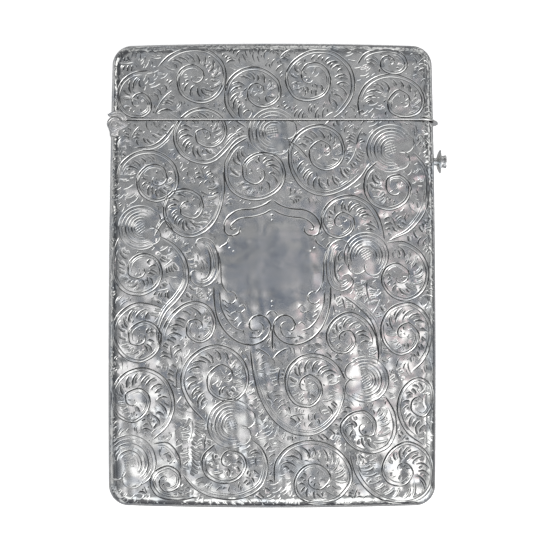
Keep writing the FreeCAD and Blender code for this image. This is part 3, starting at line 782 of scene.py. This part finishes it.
def fill_ground(pattern):
    """Fills the metal left between the motifs with curls that follow the nearest scroll."""
    eyes = np.array([e for _, e, _, _ in SCROLLS])
    hands = [h for _, _, _, h in SCROLLS]
    passes = ((2.6, 7000, 0.3, 0.3), (1.6, 9000, 0.26, 0.24), (0.9, 9000, 0.22, 0.2))
    for length, tries, width, room in passes:
        for _ in range(tries):
            x, y = rng.uniform(-37, 37), rng.uniform(-52, 52)
            if not pattern.is_free(x, y, room):
                continue
            i = int(np.argmin((eyes[:, 0] - x) ** 2 + (eyes[:, 1] - y) ** 2))
            out_angle = math.atan2(y - eyes[i, 1], x - eyes[i, 0])
            angle = out_angle - hands[i] * rng.uniform(0.4, 1.2)
            bend = hands[i] * rng.uniform(0.8, 1.7)
            p = curl((x, y), angle, length * rng.uniform(0.8, 1.15), bend)
            wide = width * rng.uniform(0.8, 1.1)
            lean = 0.3 * hands[i]
            pattern.fit(p, wide, 0.3 * wide, ends=(0.5, 0.3), lean=lean, room=room, least=0.6 * length)


# ---------------------------------------------------------------- from pattern to plate


class Depths:
    """Looks up how deep the pattern is cut at any point."""

    CELL = 0.5

    def __init__(self, cuts):
        tris = []
        for p, left, right, depth in cuts:
            n = normals(p)
            for side in (p + n * left[:, None], p - n * right[:, None]):
                a, b = p[:-1], p[1:]
                c, d = side[:-1], side[1:]
                za, zb = depth[:-1], depth[1:]
                zero = np.zeros(len(a))
                tris.append(np.column_stack([a, b, c, za, zb, zero]))
                tris.append(np.column_stack([b, d, c, zb, zero, zero]))
        t = np.vstack(tris)
        area = (t[:, 2] - t[:, 0]) * (t[:, 5] - t[:, 1]) - (t[:, 4] - t[:, 0]) * (t[:, 3] - t[:, 1])
        self.t = t[np.abs(area) > 1e-7]
        self.area = area[np.abs(area) > 1e-7]
        xs = self.t[:, [0, 2, 4]]
        ys = self.t[:, [1, 3, 5]]
        self.i0 = np.floor(xs.min(1) / self.CELL).astype(int) - 1
        self.i1 = np.floor(xs.max(1) / self.CELL).astype(int) + 1
        self.j0 = np.floor(ys.min(1) / self.CELL).astype(int) - 1
        self.j1 = np.floor(ys.max(1) / self.CELL).astype(int) + 1
        self.cells = {}
        for k in range(len(self.t)):
            for i in range(self.i0[k] + 1, self.i1[k]):
                for j in range(self.j0[k] + 1, self.j1[k]):
                    self.cells.setdefault((i, j), []).append(k)

    def at(self, p):
        """The depth of cut at each point of p."""
        out = np.zeros(len(p))
        key_i = np.floor(p[:, 0] / self.CELL).astype(int)
        key_j = np.floor(p[:, 1] / self.CELL).astype(int)
        order = np.lexsort((key_j, key_i))
        start = 0
        while start < len(order):
            i, j = key_i[order[start]], key_j[order[start]]
            end = start
            while end < len(order) and key_i[order[end]] == i and key_j[order[end]] == j:
                end += 1
            found = self.cells.get((i, j))
            if found:
                ids = order[start:end]
                q = p[ids][:, None, :]
                t = self.t[found][None, :, :]
                area = self.area[found][None, :]
                ax, bx, cx = (t[..., k] - q[..., 0] for k in (0, 2, 4))
                ay, by, cy = (t[..., k] - q[..., 1] for k in (1, 3, 5))
                w0 = (bx * cy - cx * by) / area
                w1 = (cx * ay - ax * cy) / area
                w2 = 1 - w0 - w1
                ok = (w0 > -1e-3) & (w1 > -1e-3) & (w2 > -1e-3)
                z = w0 * t[..., 6] + w1 * t[..., 7] + w2 * t[..., 8]
                out[ids] = np.maximum(np.where(ok, z, 0).max(1), 0)
            start = end
        return out


def swell(p):
    """The plate is not dead flat: slow hollows a few hundredths of a millimetre deep."""
    x, y = p[:, 0], p[:, 1]
    z = 0.030 * np.sin(0.35 * x + 1.1) * np.cos(0.29 * y + 0.4)
    z += 0.034 * np.sin(0.71 * x - 0.53 * y + 2.0) * np.cos(0.45 * x + 0.66 * y)
    z += 0.024 * np.cos(1.13 * x + 0.97 * y) * np.sin(0.9 * y - 0.6 * x)
    z += 0.012 * np.sin(1.9 * x - 1.1 * y + 0.7) * np.cos(1.6 * y + 0.8 * x)
    blank = np.clip(1.6 - np.hypot(x / 9.5, (y - 1) / 10.0) * 1.6, 0, 1)
    return (z + 0.07) * (1 - 0.6 * blank) + 0.02


def clip_line(p, y0, y1):
    """True where any part of a line lies in the plate's range of Y."""
    return p[:, 1].max() > y0 and p[:, 1].min() < y1


def triangulate(domain, holes, cuts, spacing):
    """Constrained triangulation of the plate. Returns developed points and triangles."""
    pts = []
    edges = []

    def add_path(p, closed=False):
        base = len(pts)
        pts.extend(map(tuple, p))
        n = len(p)
        for i in range(n if closed else n - 1):
            edges.append((base + i, base + (i + 1) % n))

    add_path(domain, True)
    for h in holes:
        add_path(h, True)
    x0, y0 = domain.min(0)
    x1, y1 = domain.max(0)
    for p, left, right, _ in cuts:
        n = normals(p)
        add_path(p)
        add_path(p + n * left[:, None])
        add_path(p - n * right[:, None])
    jitter = random.Random(3)
    for i in range(int((x1 - x0) / spacing) + 1):
        for j in range(int((y1 - y0) / spacing) + 1):
            x = x0 + (i + jitter.uniform(0.3, 0.7)) * spacing
            y = y0 + (j + jitter.uniform(0.3, 0.7)) * spacing
            pts.append((x, y))
    verts, _, faces, _, _, _ = delaunay_2d_cdt([Vector(p) for p in pts], edges, [], 0, 2e-3, False)
    v = np.array([(a.x, a.y) for a in verts])
    f = np.array([t for t in faces if len(t) == 3])
    mid = v[f].mean(1)
    good = inside(domain, mid)
    for h in holes:
        good &= ~inside(h, mid)
    f = f[good]
    a, b, c = v[f[:, 0]], v[f[:, 1]], v[f[:, 2]]
    area = (b[:, 0] - a[:, 0]) * (c[:, 1] - a[:, 1]) - (c[:, 0] - a[:, 0]) * (b[:, 1] - a[:, 1])
    f = f[np.abs(area) > 1e-7]
    area = area[np.abs(area) > 1e-7]
    f[area < 0] = f[area < 0][:, ::-1]
    used = np.unique(f)
    remap = np.full(len(v), -1)
    remap[used] = np.arange(len(used))
    return v[used], remap[f]


def plate_domain(y0, y1):
    """The developed plate between two heights, out to half thickness all round."""
    ring = outline(SKIRT - EDGE_R)
    out = []
    n = len(ring)
    for i in range(n):
        a, b = ring[i], ring[(i + 1) % n]
        if y0 <= a[1] <= y1:
            out.append(tuple(a))
        for level in (y0, y1):
            if (a[1] - level) * (b[1] - level) < 0:
                t = (level - a[1]) / (b[1] - a[1])
                out.append((a[0] + t * (b[0] - a[0]), level))
    return np.array(out)


def circle(x, y, r, n=20):
    """The points of a round hole."""
    turn = np.linspace(0, 2 * math.pi, n, endpoint=False)
    return np.array([polar(x, y, r, t) for t in turn])


def hinge_holes_body():
    """What the knuckles, their feet and the body's ears take out of the body's plate."""
    x = HINGE_X + 0.9
    foot = [(-50, HINGE_Y - 2.6), (x, HINGE_Y - 2.6), (x, HINGE_Y - 1.5), (HINGE_X + 1.0, HINGE_Y - 1.5)]
    ear = [(HINGE_X + 2.8, HINGE_Y - 0.5), (HINGE_X + 2.8, 40), (-50, 40)]
    return [np.array(foot + ear, float)]


def hinge_holes_lid():
    """What the knuckles and the lid's ears take out of the lid's plate."""
    leaf = [
        (-50, 30),
        (HINGE_X + 2.58, 30),
        (HINGE_X + 2.62, LID_FOOT),
        (HINGE_X + 2.8, HINGE_Y + 1.05),
        (HINGE_X + 2.24, HINGE_Y + 1.98),
        (HINGE_X + 1.2, HINGE_Y + 2.75),
        (HINGE_X + 0.1, HINGE_Y + 2.67),
        (HINGE_X - 0.15, HINGE_Y + 1.65),
        (-50, HINGE_Y + 1.65),
    ]
    return [np.array(leaf, float)]


def build_plate(name, y0, y1, holes, cuts, cut_edge_y):
    """One front wall plate as a mesh: engraved outside, plain inside, closed at its rims."""
    domain = plate_domain(y0, y1)
    own = [c for c in cuts if clip_line(c[0], y0 - 0.3, y1 + 0.3)]
    v, f = triangulate(domain, holes, own, MESH_STEP)
    reach = np.hypot(*(v - nearest_on(FLAT_EDGE, v)).T) * ~inside(FLAT_EDGE, v)
    fade = np.clip((FADE_END - reach) / FADE_SPAN, 0.1, 1)
    cut_depth = Depths(own).at(v) * fade
    low = swell(v)
    out = wrap(v, cut_depth + low * fade)
    rim = np.abs(v[:, 1] - cut_edge_y) < 2e-3
    out[rim, 1] = cut_edge_y
    back = wrap(v, np.full(len(v), WALL))
    back[rim, 1] = cut_edge_y
    # Rim walls stand on the edges that only one triangle uses.
    e = np.vstack([f[:, [0, 1]], f[:, [1, 2]], f[:, [2, 0]]])
    key = np.sort(e, axis=1)
    _, first, count = np.unique(key, axis=0, return_index=True, return_counts=True)
    border = e[first[count == 1]]
    border_ids = np.unique(border)
    remap = np.full(len(v), -1)
    remap[border_ids] = len(v) + np.arange(len(border_ids))
    rim_back = back[border_ids]
    walls = [(int(b), int(a), int(remap[a]), int(remap[b])) for a, b in border]
    # Plain inside, on a coarse triangulation of the same domain.
    v2, f2 = triangulate(domain, holes, [], INSIDE_STEP)
    inner = wrap(v2, np.full(len(v2), WALL))
    rim2 = np.abs(v2[:, 1] - cut_edge_y) < 2e-3
    inner[rim2, 1] = cut_edge_y
    base = len(v) + len(border_ids)
    co = np.vstack([out, rim_back, inner]) * MM
    faces = [tuple(map(int, t)) for t in f] + walls
    faces += [(int(c) + base, int(b) + base, int(a) + base) for a, b, c in f2]
    mesh = bpy.data.meshes.new(name)
    mesh.from_pydata([tuple(p) for p in co], [], faces)
    cut_value = np.zeros(len(co), np.float32)
    cut_value[: len(v)] = cut_depth
    mesh.attributes.new("cut_depth", "FLOAT", "POINT").data.foreach_set("value", cut_value)
    for poly in mesh.polygons:
        poly.use_smooth = True
    mesh.set_sharp_from_angle(angle=math.radians(24))
    obj = bpy.data.objects.new(name, mesh)
    bpy.context.scene.collection.objects.link(obj)
    return obj


def mirrored_plate(obj, name):
    """The same plate on the other side of the middle plane."""
    mesh = obj.data.copy()
    mesh.name = name
    co = np.zeros(len(mesh.vertices) * 3)
    mesh.vertices.foreach_get("co", co)
    co = co.reshape(-1, 3)
    co[:, 2] = THICK * MM - co[:, 2]
    mesh.vertices.foreach_set("co", co.ravel())
    mesh.flip_normals()
    other = bpy.data.objects.new(name, mesh)
    bpy.context.scene.collection.objects.link(other)
    return other


# ---------------------------------------------------------------- materials


def add_node(tree, kind, inputs, **settings):
    """Adds a shader node. Each input gets a value, or a link if it is given another node's output."""
    made = tree.nodes.new("ShaderNode" + kind)
    for key, value in settings.items():
        setattr(made, key, value)
    for key, value in inputs.items():
        if isinstance(value, bpy.types.NodeSocket):
            tree.links.new(value, made.inputs[key])
        else:
            made.inputs[key].default_value = value
    return made


def noise(tree, place, scale, detail, distortion=0.0):
    inputs = {"Vector": place, "Scale": scale, "Detail": detail, "Distortion": distortion}
    return add_node(tree, "TexNoise", inputs).outputs["Fac"]


def mapped(tree, value, start, end, low=0.0, high=1.0, kind="LINEAR"):
    """The value's range from start to end, spread over low to high."""
    inputs = {"Value": value, "From Min": start, "From Max": end, "To Min": low, "To Max": high}
    return add_node(tree, "MapRange", inputs, interpolation_type=kind).outputs["Result"]


def mixed(tree, share, under, over):
    """The colour under, covered by the colour over as far as the share says."""
    return add_node(tree, "Mix", {"Factor": share, "A": under, "B": over}, data_type="RGBA").outputs["Result"]


def colour_ramp(tree, value, stops):
    """The colour for a value, from (position, colour) stops."""
    made = add_node(tree, "ValToRGB", {"Fac": value})
    elements = made.color_ramp.elements
    elements.remove(elements[1])
    elements[0].position = stops[0][0]
    elements[0].color = (*stops[0][1], 1)
    for at, colour in stops[1:]:
        elements.new(at).color = (*colour, 1)
    return made.outputs["Color"]


def new_material(name):
    """A new material with its node tree and its shader."""
    mat = bpy.data.materials.new(name)
    mat.use_nodes = True
    return mat, mat.node_tree, mat.node_tree.nodes["Principled BSDF"]


CUT_TARNISH = (0.15, 0.15, 0.15, 1)
# Near-black painted shadow for the foot of the lid's rim, where it meets the body.
SEAM_SHADOW_COLOUR = (0.04, 0.04, 0.04, 1)


def silver(name, tint, rough_low, rough_high, engraved, grain=0.06):
    """Old polished silver: cloudy polish, fine scratches, and tarnish in the cuts."""
    mat, tree, bsdf = new_material(name)
    bsdf.inputs["Metallic"].default_value = 1.0
    place = add_node(tree, "TexCoord", {}).outputs["Object"]
    rough = mapped(tree, noise(tree, place, 90, 5), 0.3, 0.7, rough_low, rough_high)
    tree.links.new(rough, bsdf.inputs["Roughness"])
    dark = (tint[0] * 0.72, tint[1] * 0.75, tint[2] * 0.79)
    middle = (tint[0] * 0.93, tint[1] * 0.93, tint[2] * 0.925)
    stain = noise(tree, place, 260, 4, 0.6)
    colour = colour_ramp(tree, stain, ((0.34, dark), (0.5, middle), (0.66, tint)))
    if engraved:
        cut = add_node(tree, "Attribute", {}, attribute_name="cut_depth").outputs["Fac"]
        colour = mixed(tree, mapped(tree, cut, 0.03, 0.095), colour, CUT_TARNISH)
    tree.links.new(colour, bsdf.inputs["Base Color"])
    turned = {"Vector": place, "Scale": (1.0, 0.12, 1.0), "Rotation": (0, 0, 0.6)}
    stretch = add_node(tree, "Mapping", turned).outputs["Vector"]
    scratch = noise(tree, stretch, 900, 3)
    bump = add_node(tree, "Bump", {"Strength": grain, "Distance": 0.00002, "Height": scratch})
    tree.links.new(bump.outputs["Normal"], bsdf.inputs["Normal"])
    return mat


SILVER = silver("engraved_silver", (0.91, 0.915, 0.90), 0.10, 0.19, True)
PLAIN = silver("plain_silver", (0.95, 0.94, 0.91), 0.2, 0.34, False)
WORN = silver("worn_silver", (1.0, 0.995, 0.98), 0.2, 0.3, False, 0.015)
RIM = silver("rim_silver", (1.0, 1.0, 0.99), 0.18, 0.26, False, 0.015)
STEEL = silver("spring_steel", (0.42, 0.43, 0.45), 0.3, 0.45, False)


def paint_seam_shadow(mat):
    """Painted shadow along the lower edge, where the rim of the lid meets the body."""
    tree = mat.node_tree
    base = tree.nodes["Principled BSDF"].inputs["Base Color"]
    place = add_node(tree, "TexCoord", {}).outputs["Generated"]
    height = add_node(tree, "SeparateXYZ", {"Vector": place}).outputs["Y"]
    # Mask of the painted shadow: full below 0.08 of the rim's height, gone above 0.2.
    foot = mapped(tree, height, 0.2, 0.08)
    tree.links.new(mixed(tree, foot, base.links[0].from_socket, SEAM_SHADOW_COLOUR), base)


# Paints the shadow at the seam onto the rim's colour.
paint_seam_shadow(RIM)

# ---------------------------------------------------------------- pieces

pattern = design()
button_room = circle(HALF_W - 0.11 - EDGE_R + SKIRT, BUTTON_Y, BUTTON_HOLE_R)
body_front = build_plate(
    "body_front_engraved", -60, BODY_TOP, hinge_holes_body() + [button_room], pattern.cuts, BODY_TOP
)
lid_front = build_plate("lid_front_engraved", LID_FOOT, 60, hinge_holes_lid(), pattern.cuts, LID_FOOT)
body_back = mirrored_plate(body_front, "body_back_engraved")
lid_back = mirrored_plate(lid_front, "lid_back_engraved")
for obj, body, node in (
    (body_front, "case", "body_front_shell"),
    (body_back, "case", "body_back_shell"),
    (lid_front, "lid", "lid_front_shell"),
    (lid_back, "lid", "lid_back_shell"),
):
    obj.data.materials.append(SILVER)
    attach(obj, body)
    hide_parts(node)


def tube(name, rings, material, flip=False):
    """A closed tube through rings of points in millimetres, all with the same number of points."""
    n = len(rings[0])
    last = (len(rings) - 1) * n
    faces = [tuple(range(n)), tuple(last + i for i in reversed(range(n)))]
    for k in range(len(rings) - 1):
        for i in range(n):
            j = (i + 1) % n
            faces.append((k * n + i, (k + 1) * n + i, (k + 1) * n + j, k * n + j))
    if flip:
        faces = [tuple(reversed(f)) for f in faces]
    mesh = bpy.data.meshes.new(name)
    mesh.from_pydata([tuple(float(c) * MM for c in p) for ring in rings for p in ring], [], faces)
    mesh.validate()
    for poly in mesh.polygons:
        poly.use_smooth = True
    mesh.materials.append(material)
    obj = bpy.data.objects.new(name, mesh)
    bpy.context.scene.collection.objects.link(obj)
    return obj


def leaf_spring(name, low, high):
    """The latch's flat spring: a strip with rounded long edges and a rounded foot, cut into short steps."""
    x0, y0, z0 = low
    x1, y1, z1 = high
    edge = min(x1 - x0, 0.3) * 0.3
    steps = 56
    rings = []
    for k in range(steps + 1):
        y = y0 + (y1 - y0) * k / steps
        narrow = 0.5 * max(0.0, 1 - (y - y0) / 0.6) ** 2
        bottom, top = z0 + narrow + edge, z1 - narrow - edge
        corners = ((x1 - edge, top, 0), (x0 + edge, top, 90), (x0 + edge, bottom, 180),
            (x1 - edge, bottom, 270))
        ring = []
        for cx, cz, start in corners:
            for t in (0, 30, 60, 90):
                t = math.radians(start + t)
                ring.append((cx + edge * math.cos(t), y, cz + edge * math.sin(t)))
        rings.append(ring)
    obj = tube(name, rings, STEEL)
    obj.data.set_sharp_from_angle(angle=math.radians(40))
    return obj


spring_low, spring_high = ([c / MM for c in corner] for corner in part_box("latch_spring"))
spring = leaf_spring("latch_spring_blade", spring_low, spring_high)
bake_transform(spring)
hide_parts("latch_spring")


def beading(name, body, points, z, front):
    """A half-sunk wire that tapers at both ends: the raised line chased on a hinge ear."""
    line = curve(points)
    across = normals(line)
    share = np.linspace(0, 1, len(line))
    radii = 0.15 * np.clip(5 * np.minimum(share, 1 - share), 0.15, 1) ** 0.5
    rings = []
    for (x, y), (nx, ny), r in zip(line, across, radii):
        ring = []
        for t in np.linspace(0, 2 * math.pi, 10, endpoint=False):
            high = z + r * math.sin(t)
            ring.append((x + nx * r * math.cos(t), y + ny * r * math.cos(t), high if front else THICK - high))
        rings.append(ring)
    obj = tube(name, rings, WORN, flip=front)
    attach(obj, body)


def rim_wire():
    """The half-round wire soldered on the lid's rim: along the front and down the right roll to the lip."""
    roll = EDGE_R + RIM_PROUD
    top = THICK + RIM_PROUD
    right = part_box("lid_rim")[1][0] / MM
    path = [(x, top, 0.0) for x in np.linspace(WIRE_LEFT, right - roll, 90)]
    for t in np.linspace(0, WIRE_DOWN, 24)[1:]:
        path.append((right - roll + roll * math.sin(t), top - roll + roll * math.cos(t), t))
    rings = []
    for k, (x, z, tilt) in enumerate(path):
        size = min(1.0, 0.3 + 0.25 * min(k, len(path) - 1 - k))
        ring = []
        for a in np.linspace(0, 2 * math.pi, 16, endpoint=False):
            up = 0.2 * size * math.cos(a) - RIM_PROUD
            ring.append((x + up * math.sin(tilt), RIM_Y + 0.23 * size * math.sin(a), z + up * math.cos(tilt)))
        rings.append(ring)
    obj = tube("rim_wire", rings, WORN)
    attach(obj, "lid")


rim_wire()

BEADING = (
    # name, body, points
    ("ear_leaf_", "lid", [(-34.1, 32.98), (-33.5, 33.36), (-32.5, 33.62), (-31.7, 33.6), (-31, 33.1),
        (-30.45, 32.2)]),
    ("ear_rib_", "lid", [(-33.6, 32.95), (-32.6, 33.1), (-31.8, 32.85), (-31.2, 32.1)]),
    ("knuckle_curl_", "case", [(-32, 32), (-33, 32.4), (-34, 31.9), (-34.3, 30.9), (-33.8, 29.9),
        (-32.8, 29.7), (-32, 30.4)]),
    ("foot_curl_", "case", [(-33.7, 28.75), (-33.1, 29.1), (-32.3, 28.7)]),
)
for side, front in (("front", True), ("back", False)):
    for name, body, points in BEADING:
        beading(name + side, body, points, EAR_FACE, front)

# Widths of the eased edges, in metres
HINGE_BEVEL = 0.00035
RIM_BEVEL = 0.0002
PIECE_BEVEL = 0.0001

finish = {"latch_hook": STEEL, "lifter_spring": STEEL, "lid_rim": RIM}
for node in ("lid_hinge_ear_front", "lid_hinge_ear_back", "lid_hinge_knuckle", "lid_thumb_lip"):
    finish[node] = WORN
for node in ("hinge_knuckle_front", "hinge_knuckle_back", "hinge_pin", "push_button"):
    finish[node] = WORN
for node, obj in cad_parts.items():
    obj.data.materials.clear()
    obj.data.materials.append(finish.get(node, PLAIN))
    for poly in obj.data.polygons:
        poly.use_smooth = True
    obj.data.set_sharp_from_angle(angle=math.radians(30))
    weld = obj.modifiers.new("joined faces", "WELD")
    weld.merge_threshold = 0.000002
    flat = obj.modifiers.new("whole faces", "DECIMATE")
    flat.decimate_type = "DISSOLVE"
    flat.angle_limit = math.radians(0.4)
    bevel = obj.modifiers.new("eased edges", "BEVEL")
    bevel.width = HINGE_BEVEL if "hinge" in node else RIM_BEVEL if node == "lid_rim" else PIECE_BEVEL
    bevel.segments = 3
    bevel.limit_method = "ANGLE"
    bevel.angle_limit = math.radians(50)

# ---------------------------------------------------------------- floor, light and camera


def area_light(name, location, size, power, colour):
    """A square soft light that faces the case."""
    data = bpy.data.lights.new(name, "AREA")
    data.size = size
    data.energy = power
    data.color = colour
    obj = bpy.data.objects.new(name, data)
    obj.location = location
    obj.rotation_mode = "QUATERNION"
    obj.rotation_quaternion = (-Vector(location)).to_track_quat("-Z", "Y")
    bpy.context.scene.collection.objects.link(obj)


floor_mesh = bpy.data.meshes.new("floor")
floor_mesh.from_pydata([(-3, -3, 0), (3, -3, 0), (3, 3, 0), (-3, 3, 0)], [], [(0, 1, 2, 3)])
floor = bpy.data.objects.new("floor", floor_mesh)
bpy.context.scene.collection.objects.link(floor)
floor_mat, _, floor_bsdf = new_material("floor_white")
floor_bsdf.inputs["Base Color"].default_value = (0.93, 0.93, 0.93, 1)
floor_bsdf.inputs["Roughness"].default_value = 0.9
floor_bsdf.inputs["Emission Color"].default_value = (1, 1, 1, 1)
floor_bsdf.inputs["Emission Strength"].default_value = 0.75
floor_mesh.materials.append(floor_mat)
floor.location.z = -0.0002
floor.visible_glossy = False


# Soft patches in the reflected room, laid one over the other: a direction, the angles in degrees
# where the patch begins and has ended, and its colour. None stands for the patchy ceiling.
LOBES = (
    ((-0.75, 0.5, 0.55), 12, 50, (0.07, 0.073, 0.08)),
    ((0.6, -0.8, 0.7), 26, 50, (1.5, 1.5, 1.5)),
    ((-0.15, -1, 0.45), 6, 20, (0.12, 0.12, 0.13)),
    ((-0.6, -0.75, 0.6), 8, 30, (0.75, 0.75, 0.77)),
    ((0.55, 0.7, 0.55), 4, 22, (0.5, 0.5, 0.5)),
    ((0.1, 1, 0.2), 3, 14, (0.8, 0.8, 0.8)),
    ((0, -1, 0.02), 4, 18, (0.08, 0.08, 0.09)),
    ((0, 0, 1), 14, 34, None),
    ((0, 0.085, 1), 0.5, 3.2, (0.17, 0.2, 0.26)),
    ((0, -0.015, 1), 0.7, 3.2, (0.14, 0.14, 0.15)),
    ((0.13, -0.02, 1), 1, 4.9, (2.0, 1.96, 1.96)),
    ((0.105, 0.07, 1), 0.3, 2.0, (1.2, 0.85, 0.9)),
    ((-0.12, 0.03, 1), 0.5, 4.0, (1.1, 1.07, 1.1)),
    ((-0.10, -0.07, 1), 0.5, 3.4, (2.0, 2.0, 2.0)),
    ((0, 0, -1), 45, 84, (0.34, 0.34, 0.35)),
)
WALLS = (
    (0.0, (0.05, 0.051, 0.055)),
    (0.45, (0.1, 0.102, 0.108)),
    (0.52, (0.3, 0.305, 0.32)),
    (0.6, (0.8, 0.8, 0.8)),
)
CEILING = ((0.38, (0.09, 0.095, 0.105)), (0.62, (0.52, 0.52, 0.53)))


def room():
    """A soft room for the silver to reflect: plain overhead, patchy towards the walls."""
    world = bpy.data.worlds.new("studio")
    world.use_nodes = True
    tree = world.node_tree
    place = add_node(tree, "TexCoord", {}).outputs["Generated"]
    colour = colour_ramp(tree, noise(tree, place, 2.6, 1.5), WALLS)
    ceiling = colour_ramp(tree, noise(tree, place, 15, 2), CEILING)
    for direction, start, end, patch in LOBES:
        inputs = {0: place, 1: Vector(direction).normalized()}
        facing = add_node(tree, "VectorMath", inputs, operation="DOT_PRODUCT").outputs["Value"]
        far, near = (math.cos(math.radians(angle)) for angle in (end, start))
        share = mapped(tree, facing, far, near, kind="SMOOTHSTEP")
        colour = mixed(tree, share, colour, (*patch, 1) if patch else ceiling)
    tree.links.new(colour, tree.nodes["Background"].inputs["Color"])
    bpy.context.scene.world = world


room()
area_light("window_left", (-0.75, 0.35, 0.30), 0.3, 0.35, (1, 0.99, 0.97))
area_light("window_front", (0.62, -0.55, 0.45), 0.4, 0.9, (1, 0.98, 0.97))

bpy.context.scene.view_settings.view_transform = "Standard"

CAMERA_ELEVATION = math.radians(85)
CAMERA_DISTANCE = 0.350
CAMERA_LENS = 109.2436364  # on a sensor 36 mm wide

target = Vector((0.0006, 0.0, THICK / 2 * MM))
back = CAMERA_DISTANCE * Vector((0, -math.cos(CAMERA_ELEVATION), math.sin(CAMERA_ELEVATION)))
cam_data = bpy.data.cameras.new("camera")
cam = bpy.data.objects.new("camera", cam_data)
cam_data.sensor_width = 36
cam_data.lens = CAMERA_LENS
cam_data.shift_y = -0.002
cam.location = target + back
cam.rotation_mode = "QUATERNION"
cam.rotation_quaternion = (target - cam.location).to_track_quat("-Z", "Y")
bpy.context.scene.collection.objects.link(cam)
bpy.context.scene.camera = cam
